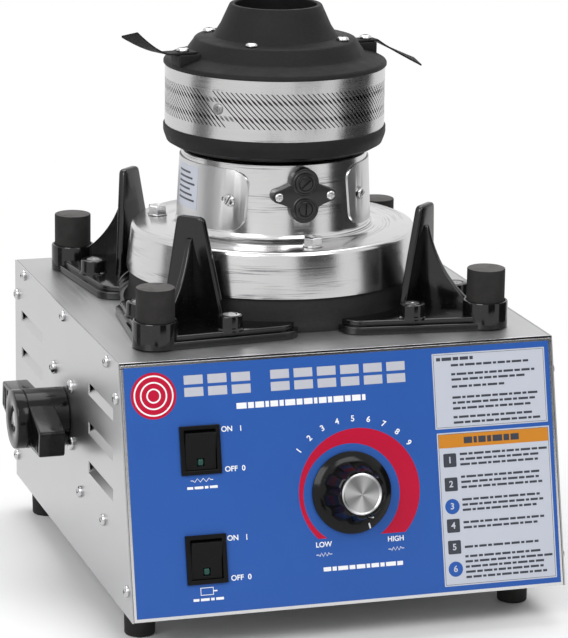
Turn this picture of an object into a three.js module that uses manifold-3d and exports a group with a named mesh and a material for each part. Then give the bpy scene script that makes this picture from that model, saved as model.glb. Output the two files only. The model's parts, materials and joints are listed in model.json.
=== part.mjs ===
// Table-top floss-sugar spinning machine: slanted sheet-metal cabinet, brush housing on the deck,
// and a heated, slotted head on the motor shaft.
// Millimetres. Z is up, the control panel faces -Y, and the spin axis is x = y = 0.
// The origin is on the underside of the base pan, so the feet reach below zero.
import * as THREE from 'three';
import { mergeVertices } from 'three/addons/utils/BufferGeometryUtils.js';
import Module from 'manifold-3d';

const wasm = await Module();
wasm.setup();

// Clearances
const seatGap = 0.3;
const holeGap = 0.4;
const bushGap = 0.1;

// Cabinet
const cabinetWidth = 356;
const cabinetDepth = 360;
const cabinetHeight = 194;
const frontLean = 46.6;
const sheet = 1.2;
const flangeWidth = 18;
const topFlangeDrop = 12;
const baseFlangeHeight = 16;
const baseStep = 0.4;
const flangeSpacing = 8;
const louvreLength = 81;
const louvreHeight = 10;
const louvreDepth = 7;
const louvrePitch = 32.5;
const louvreRows = 3;
const louvreTopRow = 149.5;
const louvreFrontInset = 77;
const louvreRearInset = 24;

// Feet and bumpers
const footHeight = 30;
const footRadius = 12.7;
const footSideInset = 21.5;
const footFrontInset = 60.6;
const footRecessRadius = 5.5;
const footRearInset = 23;
const bumperRadius = 15.7;
const bumperRise = 26;
const bumperSeatDepth = 8;

// Corner brackets
const bracketEnd = 20;
const bracketEdgeAtEnd = 137.6;
const bracketEdgeAtCorner = 148.6;
const bracketEndCorner = 9;
const bracketInnerRadius = 127;
const bracketFlange = 6;
const bracketPlate = 10.5;
const bracketLedge = 3;
const cornerBossPlace = 137;
const cornerBossRadius = 18;
const bracketBossHeight = 22;
const roundBossAlong = 76;
const roundBossOut = 134;
const roundBossRadius = 9;
const finPlace = 128;
const finThickness = 6.5;
const finLeanOut = 7;
const finHeight = 94;
const finTopHalfWidth = 11.6;
const finBaseHalfWidth = 30;
const finCorner = 4;
const gussetThickness = 5;
const gussetRise = 76;

// Collar and brush housing
const deckOpeningRadius = 88;
const collarBore = 90;
const collarRadius = 118.5;
const collarFlare = 5;
const collarHeight = 28;
const ledgeHeight = 20;
const ledgeRadius = 113;
const shoulderRadius = 121;
const shoulderTopRadius = 117.4;
const shoulderHeight = 36;
const neckBaseRadius = 78.8;
const neckTaper = 2.6;
const neckTopRadius = neckBaseRadius - neckTaper;
const neckHeight = 62;
const neckFillet = 6.5;
const neckWall = 6.2;
const neckBore = neckTopRadius - neckWall;
const boltCircle = 98;
const boltTurn = 2;
const boltRadius = 4;
const boltHeadRadius = 8.2;
const boltHeadHeight = 8;
const hubRadius = 20;
const webThickness = 6;

// Cover plates and brush gear
const coverPlateWall = 1;
const coverPlateHeight = 50;
const coverPlateRise = 7;
const coverPlateHalfAngle = 55.5;
const coverPlateCorner = 8;
const coverSlotLength = 11;
const coverSlotWidth = 4.6;
const windowHalfWidth = 48;
const windowLap = 5;
const brushRise = 38.5;
const brushSpacing = 20.9;
const brushRadius = 4.4;
const brushTubeWall = 1.4;
const brushPlateThickness = 7;
const brushLobeRadius = 11.8;
const brushEarReach = 21.5;
const brushEarRadius = 5.2;
const brushCapRadius = 8.25;
const brushCapHeight = 3;
const brushLength = 20;
const capShankLength = 8;
const slipRingRadius = 42;
const slipRingHeight = 12;
const slipHubRadius = 30;
const leadRadius = 2;

// Motor and shaft
const motorRadius = 62;
const motorLength = 134;
const motorFlange = 6;
const shaftRadius = 6.35;
const bushWall = 3.6;
const bushLength = 14;
const fanRadius = 50;
const fanHeight = 14;
const fanBlades = 6;

// Spinning head
const headClearance = 2;
const headRadius = 91.2;
const headBowlDepth = 17;
const lowerRim = 8;
const bandRadius = 90;
const bandWall = 1.2;
const bandHeight = 49;
const slotPairs = 68;
const slotBlank = 4;
const slotWidth = 0.8;
const slotField = 28.5;
const slotLean = 45;
const slotSeam = -47;
const coverRim = 4.5;
const coverShoulderRadius = 66;
const coverShoulderRise = 21;
const coverStepRadius = 72.5;
const coverStepRise = 12.5;
const coverDomeWall = 6;
const sugarNeckBase = 49;
const sugarNeckRadius = 37.6;
const sugarNeckRise = 49;
const coverWall = 4;
const coverScrewCircle = 57.5;
const coverScrewAngle = -36;
const ribbonRadius = 82;
const ribbonWave = 2.6;
const ribbonWaves = 18;
const ribbonWall = 0.8;
const ribbonHeight = 52;
const vaneWidth = 14;
const vaneWall = 1.6;
const vaneReach = 134;
const vaneLeftAngle = -80;
const vaneLeftFlat = 7;
const vaneLift = 17;
const vaneDrop = 22;
const vaneTwist = 17;
const vaneTipCut = 7;
const vanePadTop = 13;
const vanePadHalf = 8.5;
const postRadius = 5;

// Control panel
const labelThickness = 0.5;
const labelMargin = 2.3;
const switchInset = 61;
const switchAcross = -(cabinetWidth / 2 - switchInset);
const heatSwitchUp = 129.3;
const masterSwitchUp = 44.9;
const bezelWidth = 32.4;
const bezelHeight = 38;
const bezelThickness = 2;
const switchWall = 1.9;
const switchDepth = 26;
const rockerWidth = 24.6;
const rockerHalf = 14.6;
const rockerTilt = 12;
const lensWidth = 5;
const lensHeight = 5.5;
const knobAcross = 3;
const knobUp = 87.6;
const knobSkirtRadius = 32.25;
const knobGripRadius = 25;
const knobTopRadius = 19;
const knobHeight = 27;
const knobFlutes = 9;
const knobCapRadius = 16.25;
const spindleRadius = 3;
const controlRadius = 17;
const controlDepth = 24;
const spindleReach = 22;

// Side knob
const sideKnobY = -3;
const sideKnobZ = 104;
const sideKnobTilt = 7;
const sideBarrelRadius = 24.35;
const sideGroove = 1.5;
const sideRingThickness = 9;
const sideWingReach = 58;
const sideWingTipHalf = 10.75;
const sideWingRootHalf = 19.6;
const sideWingThickness = 21;
const sideWingStart = 13;
const wingPockets = 4;
const sideScrewRadius = 8.5;
const sideSpindleRadius = 3.5;
const sideControlY = -1.6;
const sideControlZ = 113;
const sideControlHalfY = 30.1;
const sideControlHalfZ = 24.2;
const sideControlDepth = 38;
const sideSpindleReach = 22;
const sideSpindleRoom = 4;

// Cord gland
const glandAcross = 120;
const glandUp = 40;
const glandRadius = 8.6;
const glandBore = 4.2;

// Worked-out levels and places
const leanAngle = Math.atan2(frontLean, cabinetHeight);
const rear = cabinetDepth / 2;
const frontTop = -cabinetDepth / 2;
const frontBottom = frontTop - frontLean;
const sideInner = cabinetWidth / 2 - sheet;
const innerHalf = sideInner - seatGap;
const deckTop = cabinetHeight;
const ledgeTop = deckTop + ledgeHeight;
const collarTop = deckTop + collarHeight;
const shoulderTop = collarTop + shoulderHeight;
const neckTop = shoulderTop + neckHeight;
const brushCentre = shoulderTop + brushRise;
const headBottom = neckTop + headClearance;
const rimTop = headBottom + headBowlDepth + 2;
const bandTop = rimTop + bandHeight;
const headFloor = rimTop - lowerRim;
const ringSides = 24;
const shaftSides = 12;
const slipSides = 16;
const bushRadius = shaftRadius + bushGap + bushWall;

const finish = {
  stainless: { color: 0xb9bbbe, roughness: 0.35, metalness: 1 },
  turned: { color: 0xc9cbcd, roughness: 0.28, metalness: 1 },
  zinc: { color: 0xc4c8cc, roughness: 0.3, metalness: 1 },
  darkSteel: { color: 0x6f7276, roughness: 0.45, metalness: 1 },
  bronze: { color: 0xb5894b, roughness: 0.4, metalness: 1 },
  castBlack: { color: 0x2b2b2d, roughness: 0.85, metalness: 0.1 },
  mouldedBlack: { color: 0x141416, roughness: 0.25, metalness: 0 },
  rubber: { color: 0x333436, roughness: 0.9, metalness: 0 },
  label: { color: 0x2f5fb4, roughness: 0.45, metalness: 0 },
  carbon: { color: 0x3a3a3c, roughness: 0.7, metalness: 0 },
  green: { color: 0x0f5a3c, roughness: 0.2, metalness: 0 },
};

// Closed meshes and solids

function outward(geometry) {
  const corners = geometry.attributes.position;
  const order = geometry.index.array;
  const [a, b, c] = [new THREE.Vector3(), new THREE.Vector3(), new THREE.Vector3()];
  let volume = 0;
  for (let i = 0; i < order.length; i += 3) {
    a.fromBufferAttribute(corners, order[i]);
    b.fromBufferAttribute(corners, order[i + 1]);
    c.fromBufferAttribute(corners, order[i + 2]);
    volume += a.dot(b.cross(c));
  }
  if (volume < 0) {
    for (let i = 0; i < order.length; i += 3) {
      [order[i + 1], order[i + 2]] = [order[i + 2], order[i + 1]];
    }
  }
  return geometry;
}

function sealed(geometry) {
  const bare = geometry.clone();
  bare.deleteAttribute('normal');
  bare.deleteAttribute('uv');
  const merged = mergeVertices(bare, 1e-4);
  const order = merged.index.array;
  const kept = [];
  for (let i = 0; i < order.length; i += 3) {
    const [a, b, c] = [order[i], order[i + 1], order[i + 2]];
    if (a !== b && b !== c && c !== a) kept.push(a, b, c);
  }
  merged.setIndex(kept);
  return outward(merged);
}

function solid(geometry) {
  const closed = sealed(geometry);
  return new wasm.Manifold(new wasm.Mesh({
    numProp: 3,
    vertProperties: new Float32Array(closed.attributes.position.array),
    triVerts: new Uint32Array(closed.index.array),
  }));
}

function joined(...geometries) {
  return geometries.map(solid).reduce((whole, piece) => whole.add(piece));
}

function cut(body, ...tools) {
  return tools.map(solid).reduce((rest, tool) => rest.subtract(tool), body);
}

function meshOf(body) {
  const faces = body.getMesh();
  const geometry = new THREE.BufferGeometry();
  geometry.setAttribute('position', new THREE.BufferAttribute(new Float32Array(faces.vertProperties), 3));
  geometry.setIndex(new THREE.BufferAttribute(new Uint32Array(faces.triVerts), 1));
  return geometry;
}

// Basic forms

function block(x0, x1, y0, y1, z0, z1) {
  const geometry = new THREE.BoxGeometry(x1 - x0, y1 - y0, z1 - z0);
  return geometry.translate((x0 + x1) / 2, (y0 + y1) / 2, (z0 + z1) / 2);
}

// A revolve about Z from [radius, height] pairs. The profile closes on itself or ends on the axis.
function turned(profile, sides = ringSides) {
  const points = profile.map(([radius, height]) => new THREE.Vector2(radius, height));
  const onAxis = profile[0][0] === 0 && profile[profile.length - 1][0] === 0;
  if (!onAxis) points.push(points[0].clone());
  return new THREE.LatheGeometry(points, sides).rotateX(Math.PI / 2);
}

function upright(radius, z0, z1, x = 0, y = 0, sides = 12) {
  const geometry = new THREE.CylinderGeometry(radius, radius, z1 - z0, sides);
  return geometry.rotateX(Math.PI / 2).translate(x, y, (z0 + z1) / 2);
}

function alongY(radius, y0, y1, x, z, sides = 12) {
  const geometry = new THREE.CylinderGeometry(radius, radius, Math.abs(y1 - y0), sides);
  return geometry.translate(x, (y0 + y1) / 2, z);
}

function alongX(radius, x0, x1, y, z, sides = 6) {
  const geometry = new THREE.CylinderGeometry(radius, radius, Math.abs(x1 - x0), sides);
  return geometry.rotateZ(Math.PI / 2).translate((x0 + x1) / 2, y, z);
}

function outline(points) {
  return new THREE.Shape(points.map(([x, y]) => new THREE.Vector2(x, y)));
}

function roundedRectangle(halfWidth, halfHeight, radius) {
  const shape = new THREE.Shape();
  shape.moveTo(halfWidth - radius, -halfHeight);
  shape.absarc(halfWidth - radius, -halfHeight + radius, radius, -Math.PI / 2, 0);
  shape.absarc(halfWidth - radius, halfHeight - radius, radius, 0, Math.PI / 2);
  shape.absarc(-halfWidth + radius, halfHeight - radius, radius, Math.PI / 2, Math.PI);
  shape.absarc(-halfWidth + radius, -halfHeight + radius, radius, Math.PI, 1.5 * Math.PI);
  return shape;
}

function extruded(shape, thickness, arcSteps = 4) {
  return new THREE.ExtrudeGeometry(shape, { depth: thickness, bevelEnabled: false, curveSegments: arcSteps });
}

// A profile drawn in (y, z), extruded from x0 to x1
function acrossX(shape, x0, x1, arcSteps = 4) {
  const geometry = extruded(shape, x1 - x0, arcSteps);
  return geometry.rotateY(Math.PI / 2).rotateX(Math.PI / 2).translate(x0, 0, 0);
}

// A profile drawn in (x, z), extruded from y0 to y1
function acrossY(shape, y0, y1, arcSteps = 4) {
  return extruded(shape, y1 - y0, arcSteps).rotateX(Math.PI / 2).translate(0, y1, 0);
}

// A place round the spin axis. The angle is in degrees from the front, toward +X.
function around(radius, angle) {
  const turn = THREE.MathUtils.degToRad(angle);
  return [radius * Math.sin(turn), -radius * Math.cos(turn)];
}

// A straight-sided body through rings of points, each ring closed and seen from the same side
function lofted(rings) {
  const count = rings[0].length;
  const positions = rings.flat().flatMap((point) => [point.x, point.y, point.z]);
  const order = [];
  for (let level = 0; level < rings.length - 1; level += 1) {
    for (let i = 0; i < count; i += 1) {
      const next = (i + 1) % count;
      const [a, b] = [level * count + i, level * count + next];
      order.push(a, b, b + count, a, b + count, a + count);
    }
  }
  const last = (rings.length - 1) * count;
  for (const [first, ring, isLast] of [[0, rings[0], false], [last, rings[rings.length - 1], true]]) {
    const middle = ring.reduce((sum, point) => sum.add(point), new THREE.Vector3()).divideScalar(count);
    const centre = positions.length / 3;
    positions.push(middle.x, middle.y, middle.z);
    for (let i = 0; i < count; i += 1) {
      const [a, b] = [first + i, first + ((i + 1) % count)];
      order.push(centre, ...(isLast ? [a, b] : [b, a]));
    }
  }
  const geometry = new THREE.BufferGeometry();
  geometry.setAttribute('position', new THREE.BufferAttribute(new Float32Array(positions), 3));
  geometry.setIndex(order);
  return outward(geometry);
}

function addPart(parent, name, shape, finishName) {
  const geometry = shape.isBufferGeometry ? sealed(shape) : meshOf(shape);
  const mesh = new THREE.Mesh(geometry, new THREE.MeshStandardMaterial(finish[finishName]));
  mesh.name = name;
  parent.add(mesh);
  return mesh;
}

const machine = new THREE.Group();
const controls = new THREE.Group();
controls.position.set(0, frontBottom, 0);
controls.rotation.x = -leanAngle;
machine.add(controls);

// Where the control panel and the top cover leave room for each other's flanges
const topFlangeFront = frontTop + flangeWidth + flangeSpacing;
const topFlangeRear = rear - flangeWidth - flangeSpacing / 2;

// Feet, in the order front left, front right, rear left, rear right
const corners = [['front_left', -1, -1], ['front_right', 1, -1], ['rear_left', -1, 1], ['rear_right', 1, 1]];
function footPlace(side, end) {
  const y = end < 0 ? frontBottom + footFrontInset : rear - footRearInset;
  return [side * (cabinetWidth / 2 - footSideInset), y];
}

// The base is pressed down a little between the feet
function basePan() {
  const front = frontBottom + (sheet + seatGap) / Math.cos(leanAngle) + sheet * Math.tan(leanAngle);
  const back = rear - sheet - seatGap;
  const flangeFront = frontBottom + flangeWidth + flangeSpacing + baseFlangeHeight * Math.tan(leanAngle);
  const flangeRear = rear - flangeWidth - flangeSpacing;
  const [stepSide, stepFront] = footPlace(1, -1);
  const [, stepRear] = footPlace(1, 1);
  const clear = footRadius + 5;
  return joined(
    block(-innerHalf, innerHalf, front, back, baseStep, sheet),
    block(-stepSide + clear, stepSide - clear, stepFront + clear, stepRear - clear, 0, sheet),
    block(-innerHalf, -innerHalf + sheet, flangeFront, flangeRear, baseStep, baseFlangeHeight),
    block(innerHalf - sheet, innerHalf, flangeFront, flangeRear, baseStep, baseFlangeHeight),
  );
}

function topCover() {
  const cover = joined(
    block(-innerHalf, innerHalf, frontTop, rear, deckTop - sheet, deckTop),
    block(-innerHalf, -innerHalf + sheet, topFlangeFront, topFlangeRear, deckTop - topFlangeDrop, deckTop),
    block(innerHalf - sheet, innerHalf, topFlangeFront, topFlangeRear, deckTop - topFlangeDrop, deckTop),
  );
  return cut(cover, upright(deckOpeningRadius, deckTop - sheet - 1, deckTop + 1, 0, 0, ringSides));
}

// One louvre: a flap pressed inward from its lower edge, open at the top and rear, closed at the front end.
// Drawn for the left panel.
function louvre(y0, y1, z0, outer) {
  const z1 = z0 + louvreHeight;
  const overlap = sheet / 2;
  const flap = outline([
    [outer, z0 - overlap],
    [outer + sheet, z0 - overlap],
    [outer + louvreDepth + sheet, z1],
    [outer + louvreDepth, z1],
    [outer, z0],
  ]);
  const end = outline([
    [outer, z0 - overlap],
    [outer + louvreDepth + sheet, z1],
    [outer + louvreDepth + sheet, z1 + overlap],
    [outer, z1 + overlap],
  ]);
  return {
    opening: block(outer - 1, outer + sheet + 1, y0 + sheet, y1, z0, z1),
    flap: acrossY(flap, y0, y1),
    end: acrossY(end, y0, y0 + sheet),
  };
}

function sidePanel(side) {
  const outer = -cabinetWidth / 2;
  const profile = outline([[frontBottom, 0], [rear, 0], [rear, deckTop], [frontTop, deckTop]]);
  let panel = solid(acrossX(profile, outer, outer + sheet));
  const columns = [frontBottom + frontLean / 2 + louvreFrontInset - louvreLength / 2,
    rear - louvreRearInset - louvreLength];
  for (const y0 of columns) {
    for (let row = 0; row < louvreRows; row += 1) {
      const z0 = louvreTopRow - row * louvrePitch - louvreHeight / 2;
      const pressed = louvre(y0, y0 + louvreLength, z0, outer);
      panel = cut(panel, pressed.opening).add(solid(pressed.flap)).add(solid(pressed.end));
    }
  }
  if (side > 0) return panel.mirror([1, 0, 0]);
  return cut(panel, alongX(sideSpindleRadius + holeGap, outer - 1, outer + sheet + 1, sideKnobY, sideKnobZ, 12));
}

function rearPanel() {
  const top = deckTop - sheet - seatGap;
  const flangeBottom = sheet + seatGap;
  const panel = joined(
    block(-innerHalf, innerHalf, rear - sheet, rear, 0, top),
    block(-innerHalf, -innerHalf + sheet, rear - flangeWidth, rear, flangeBottom, top),
    block(innerHalf - sheet, innerHalf, rear - flangeWidth, rear, flangeBottom, top),
  );
  return cut(panel, alongY(glandRadius + holeGap, rear - sheet - 1, rear + 1, glandAcross, glandUp, 12));
}

// The parts of the control panel are drawn in its own frame: z runs up the slope and -y faces out.
const panelBottom = sheet * Math.tan(leanAngle) + 0.1;
const panelTop = (deckTop - sheet - seatGap) / Math.cos(leanAngle);
const bodyWidth = bezelWidth - 3.2;
const bodyHeight = bezelHeight - 3.2;
const labelFront = -seatGap - labelThickness;
const switchCentres = [heatSwitchUp, masterSwitchUp];

function panelCutouts(front, back) {
  const halfWidth = bodyWidth / 2 + holeGap;
  const halfHeight = bodyHeight / 2 + holeGap;
  const holes = switchCentres.map((up) => (
    block(switchAcross - halfWidth, switchAcross + halfWidth, front, back, up - halfHeight, up + halfHeight)));
  holes.push(alongY(spindleRadius + 1.7 + holeGap, front, back, knobAcross, knobUp, 12));
  return holes;
}

function controlPanel() {
  const flangeBottom = (flangeWidth * Math.sin(leanAngle) + 2 * sheet + seatGap) / Math.cos(leanAngle);
  const panel = joined(
    block(-innerHalf, innerHalf, 0, sheet, panelBottom, panelTop),
    block(-innerHalf, -innerHalf + sheet, 0, flangeWidth, flangeBottom, panelTop),
    block(innerHalf - sheet, innerHalf, 0, flangeWidth, flangeBottom, panelTop),
  );
  return cut(panel, ...panelCutouts(-1, sheet + 1));
}

function controlLabel() {
  const half = innerHalf - labelMargin;
  const sheetOfLabel = solid(block(-half, half, labelFront, -seatGap, labelMargin + 0.7, panelTop - labelMargin));
  return cut(sheetOfLabel, ...panelCutouts(labelFront - 1, 1));
}

const bezelBack = labelFront - seatGap;
const bezelFront = bezelBack - bezelThickness;
const rockerPivot = 1;
const rockerEdge = bezelFront - 0.8;
const rockerRadius = Math.hypot(rockerHalf, rockerPivot - rockerEdge);
const pinRadius = 1.4;

function switchBody(up) {
  const [halfWidth, halfHeight] = [bezelWidth / 2, bezelHeight / 2];
  const [bodyHalfWidth, bodyHalfHeight] = [bodyWidth / 2, bodyHeight / 2];
  const wellHalfWidth = bodyHalfWidth - switchWall;
  const wellHalfHeight = rockerRadius + holeGap / 2;
  const x = switchAcross;
  const body = joined(
    block(x - halfWidth, x + halfWidth, bezelFront, bezelBack, up - halfHeight, up + halfHeight),
    block(x - bodyHalfWidth, x + bodyHalfWidth, bezelFront, switchDepth, up - bodyHalfHeight, up + bodyHalfHeight),
  );
  const well = block(x - wellHalfWidth, x + wellHalfWidth, bezelFront - 1, switchDepth / 2,
    up - wellHalfHeight, up + wellHalfHeight);
  const pinHole = alongX(pinRadius + holeGap, x - wellHalfWidth - 1.3, x + wellHalfWidth + 1.3, rockerPivot, up, 8);
  return cut(body, well, pinHole);
}

// The rocker at rest is off: its lower end is pressed in and its upper end stands proud.
function tilted(geometry, up) {
  geometry.translate(0, -rockerPivot, 0).rotateX(THREE.MathUtils.degToRad(rockerTilt));
  return geometry.translate(switchAcross, rockerPivot, up);
}

function lensBlock(grow) {
  const centre = -0.62 * rockerHalf;
  const [halfWidth, halfHeight] = [lensWidth / 2 + grow, lensHeight / 2 + grow];
  return block(-halfWidth, halfWidth, rockerEdge, rockerEdge + 4 + grow, centre - halfHeight, centre + halfHeight);
}

function rockerBlank() {
  const profile = outline([
    [rockerEdge, rockerHalf],
    [rockerEdge + 1.8, 0],
    [rockerEdge, -rockerHalf],
    [rockerPivot, -rockerHalf + 0.4],
    [rockerPivot + 6, -rockerHalf * 0.66],
    [rockerPivot + 6, rockerHalf * 0.66],
    [rockerPivot, rockerHalf - 0.4],
  ]);
  return acrossX(profile, -rockerWidth / 2, rockerWidth / 2);
}

function rocker(up) {
  const pin = alongX(pinRadius, -rockerWidth / 2 - 1.2, rockerWidth / 2 + 1.2, rockerPivot, 0, 8);
  const body = solid(tilted(rockerBlank(), up)).add(solid(tilted(pin, up)));
  return cut(body, tilted(lensBlock(seatGap), up));
}

function lens(up) {
  return solid(tilted(lensBlock(0), up)).intersect(solid(tilted(rockerBlank(), up)));
}

// A ring of points round the knob's grip, scalloped between its lobes
function fluteRing(radius, depth, out) {
  const stepsPerFlute = 3;
  const ring = [];
  for (let i = 0; i < knobFlutes * stepsPerFlute; i += 1) {
    const turn = (2 * Math.PI * i) / (knobFlutes * stepsPerFlute);
    const dip = depth * Math.max(0, Math.cos(knobFlutes * turn));
    ring.push(new THREE.Vector3(Math.cos(turn) * (radius - dip), Math.sin(turn) * (radius - dip), out));
  }
  return ring;
}

const knobBack = 0.7;
const capRecess = 1.6;

// Knob parts are drawn on +Z, then turned to face out of the panel.
function facingOut(geometry) {
  return geometry.rotateX(Math.PI / 2).translate(knobAcross, labelFront, knobUp);
}

function heatKnob() {
  const skirt = turned([
    [0, knobBack], [knobSkirtRadius, knobBack], [knobSkirtRadius, knobBack + 2],
    [knobGripRadius + 2, knobBack + 5.5], [0, knobBack + 6.5],
  ], 28);
  const grip = lofted([
    fluteRing(knobGripRadius, 2.2, knobBack + 4),
    fluteRing(knobTopRadius, 1.6, knobHeight),
  ]);
  const bore = upright(spindleRadius + seatGap, 0, knobHeight * 0.6);
  const recess = upright(knobCapRadius + seatGap, knobHeight - capRecess, knobHeight + 1, 0, 0, 24);
  return cut(joined(facingOut(skirt), facingOut(grip)), facingOut(bore), facingOut(recess));
}

function knobCap() {
  const bottom = knobHeight - capRecess + seatGap;
  return facingOut(turned([
    [0, bottom], [knobCapRadius, bottom], [knobCapRadius, knobHeight + 0.5],
    [knobCapRadius - 0.8, knobHeight + 1.2], [0, knobHeight + 1.2],
  ], 24));
}

const controlFace = sheet + seatGap;

function heatControl() {
  const body = turned([
    [spindleRadius + seatGap, -controlFace + 0.6], [spindleRadius + 1.7, -controlFace + 0.6],
    [spindleRadius + 1.7, -controlFace], [controlRadius, -controlFace],
    [controlRadius, -controlFace - controlDepth], [spindleRadius + seatGap, -controlFace - controlDepth],
  ], 16);
  return body.rotateX(Math.PI / 2).translate(knobAcross, 0, knobUp);
}

function heatSpindle() {
  const tip = knobHeight * 0.6 - seatGap;
  return facingOut(upright(spindleRadius, -controlFace - spindleReach, tip));
}

// Feet, brackets and bumpers

function foot(x, y) {
  const bottom = -footHeight;
  const recess = bottom * 0.4;
  return turned([
    [0, baseStep], [footRadius, baseStep], [footRadius - 0.7, bottom + 1.5], [footRadius - 1.7, bottom],
    [footRecessRadius, bottom], [footRecessRadius, recess], [0, recess],
  ], 12).translate(x, y, 0);
}

// The plan of a bracket in the quarter where x and y are positive, symmetric about its diagonal
function bracketPlan(inset) {
  const [edgeAtEnd, edgeAtCorner] = [bracketEdgeAtEnd - inset, bracketEdgeAtCorner - inset];
  const end = bracketEnd + inset;
  const corner = bracketEndCorner;
  const innerAngle = Math.asin(end / bracketInnerRadius);
  const shape = new THREE.Shape();
  shape.moveTo(edgeAtEnd - corner, end);
  shape.lineTo(edgeAtEnd - corner * 0.3, end + corner * 0.3);
  shape.lineTo(edgeAtEnd + 0.6, end + corner);
  shape.lineTo(edgeAtCorner, cornerBossPlace);
  shape.lineTo(cornerBossPlace, edgeAtCorner);
  shape.lineTo(end + corner, edgeAtEnd + 0.6);
  shape.lineTo(end + corner * 0.3, edgeAtEnd - corner * 0.3);
  shape.lineTo(end, edgeAtEnd - corner);
  shape.absarc(0, 0, bracketInnerRadius, Math.PI / 2 - innerAngle, innerAngle, true);
  return shape;
}

function finShape() {
  const shape = new THREE.Shape();
  shape.moveTo(-finBaseHalfWidth, 0);
  shape.lineTo(finBaseHalfWidth, 0);
  shape.lineTo(finTopHalfWidth, finHeight - finCorner);
  shape.quadraticCurveTo(finTopHalfWidth - 0.6, finHeight, finTopHalfWidth - finCorner, finHeight);
  shape.lineTo(-finTopHalfWidth + finCorner, finHeight);
  shape.quadraticCurveTo(-finTopHalfWidth + 0.6, finHeight, -finTopHalfWidth, finHeight - finCorner);
  return shape;
}

// How far the fin leans out for each millimetre of its height
const finLean = finLeanOut / finHeight;

// The gusset between the fin and the corner boss, with its concave outer edge, drawn in (along, up)
function gussetShape() {
  const start = finPlace + finThickness / 2;
  const bossSide = cornerBossPlace * Math.SQRT2 - cornerBossRadius + 2;
  const fromFin = finPlace + finThickness + 2 + finLean * gussetRise;
  const shape = new THREE.Shape();
  shape.moveTo(start, bracketFlange);
  shape.lineTo(bossSide, bracketFlange);
  shape.lineTo(bossSide, bracketBossHeight - 1.5);
  const bend = fromFin + (bossSide - fromFin) * 0.22;
  shape.quadraticCurveTo(bend, bracketBossHeight + (gussetRise - bracketBossHeight) * 0.36, fromFin, gussetRise);
  shape.lineTo(start + finLean * gussetRise, gussetRise + 2);
  return shape;
}

function bracket() {
  const diagonal = THREE.MathUtils.degToRad(45);
  const fin = extruded(finShape(), finThickness, 2).rotateX(Math.PI / 2).rotateZ(Math.PI / 2);
  const lean = new THREE.Matrix4().makeShear(0, 0, 0, 0, finLean, 0);
  fin.applyMatrix4(lean).translate(finPlace, 0, 0).rotateZ(diagonal);
  const gusset = acrossY(gussetShape(), -gussetThickness / 2, gussetThickness / 2, 4).rotateZ(diagonal);
  const body = joined(
    extruded(bracketPlan(0), bracketFlange, 4),
    extruded(bracketPlan(bracketLedge), bracketPlate, 4),
    upright(cornerBossRadius, 0, bracketBossHeight, cornerBossPlace, cornerBossPlace, 14),
    upright(roundBossRadius, 0, bracketBossHeight, roundBossAlong, roundBossOut, 8),
    upright(roundBossRadius, 0, bracketBossHeight, roundBossOut, roundBossAlong, 8),
    fin,
    gusset,
  );
  const seat = upright(bumperRadius + seatGap, bracketBossHeight - bumperSeatDepth, bracketBossHeight + 1,
    cornerBossPlace, cornerBossPlace, 16);
  return cut(body, seat);
}

function bumper(x, y) {
  const bottom = deckTop + bracketBossHeight - bumperSeatDepth + seatGap;
  const top = deckTop + bracketBossHeight + bumperRise;
  return turned([
    [0, bottom], [bumperRadius, bottom], [bumperRadius, top - 0.8], [bumperRadius - 0.8, top], [0, top],
  ], 14).translate(x, y, 0);
}

// Collar and brush housing

const boltAngles = [0, 120, -120].map((angle) => angle + boltTurn);

function boltHoles(z0, z1) {
  return boltAngles.map((angle) => upright(boltRadius + holeGap, z0, z1, ...around(boltCircle, angle), 6));
}

function collar() {
  const ring = turned([
    [collarBore, deckTop], [collarRadius + collarFlare, deckTop], [collarRadius + 1.2, deckTop + 7],
    [collarRadius, collarTop], [ledgeRadius, collarTop], [ledgeRadius, ledgeTop], [collarBore, ledgeTop],
  ]);
  return cut(solid(ring), ...boltHoles(deckTop - 1, ledgeTop + 1));
}

const neckStart = shoulderTop + neckFillet;
function neckRadiusAt(z) {
  const share = (z - neckStart) / (neckTop - neckStart);
  return neckBaseRadius + (neckTopRadius - neckBaseRadius) * share;
}

// The outer surface of the neck, grown outward, for what is wrapped or seated on it
function neckSkin(grow, z0, z1) {
  return [[neckRadiusAt(z0) + grow, z0], [neckRadiusAt(z1) + grow, z1]];
}

const flangeTop = ledgeTop + motorFlange;
const webTop = shoulderTop - 6;
const webBottom = webTop - webThickness;
const hubTop = webTop + 12;
const hubBottom = webBottom;

// The lower part of the housing: a hollow shoulder with a web that carries the upper bush
function brushHousing() {
  const skirt = collarTop + seatGap;
  const skirtWall = 6.5;
  const casting = turned([
    [shoulderRadius, skirt], [shoulderTopRadius, shoulderTop - 3.5], [shoulderTopRadius - 3.8, shoulderTop],
    [neckBore, shoulderTop], [neckBore, webTop], [hubRadius, webTop], [hubRadius, hubTop],
    [bushRadius + seatGap, hubTop], [bushRadius + seatGap, hubBottom],
    [shoulderTopRadius - skirtWall - 4, webBottom], [shoulderRadius - skirtWall, skirt],
  ]);
  const bosses = boltAngles.map((angle) => (
    upright(boltRadius + 5, flangeTop, webBottom + 2, ...around(boltCircle, angle), 8)));
  return cut(joined(casting, ...bosses), ...boltHoles(flangeTop - 1, shoulderTop + 1));
}

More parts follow.
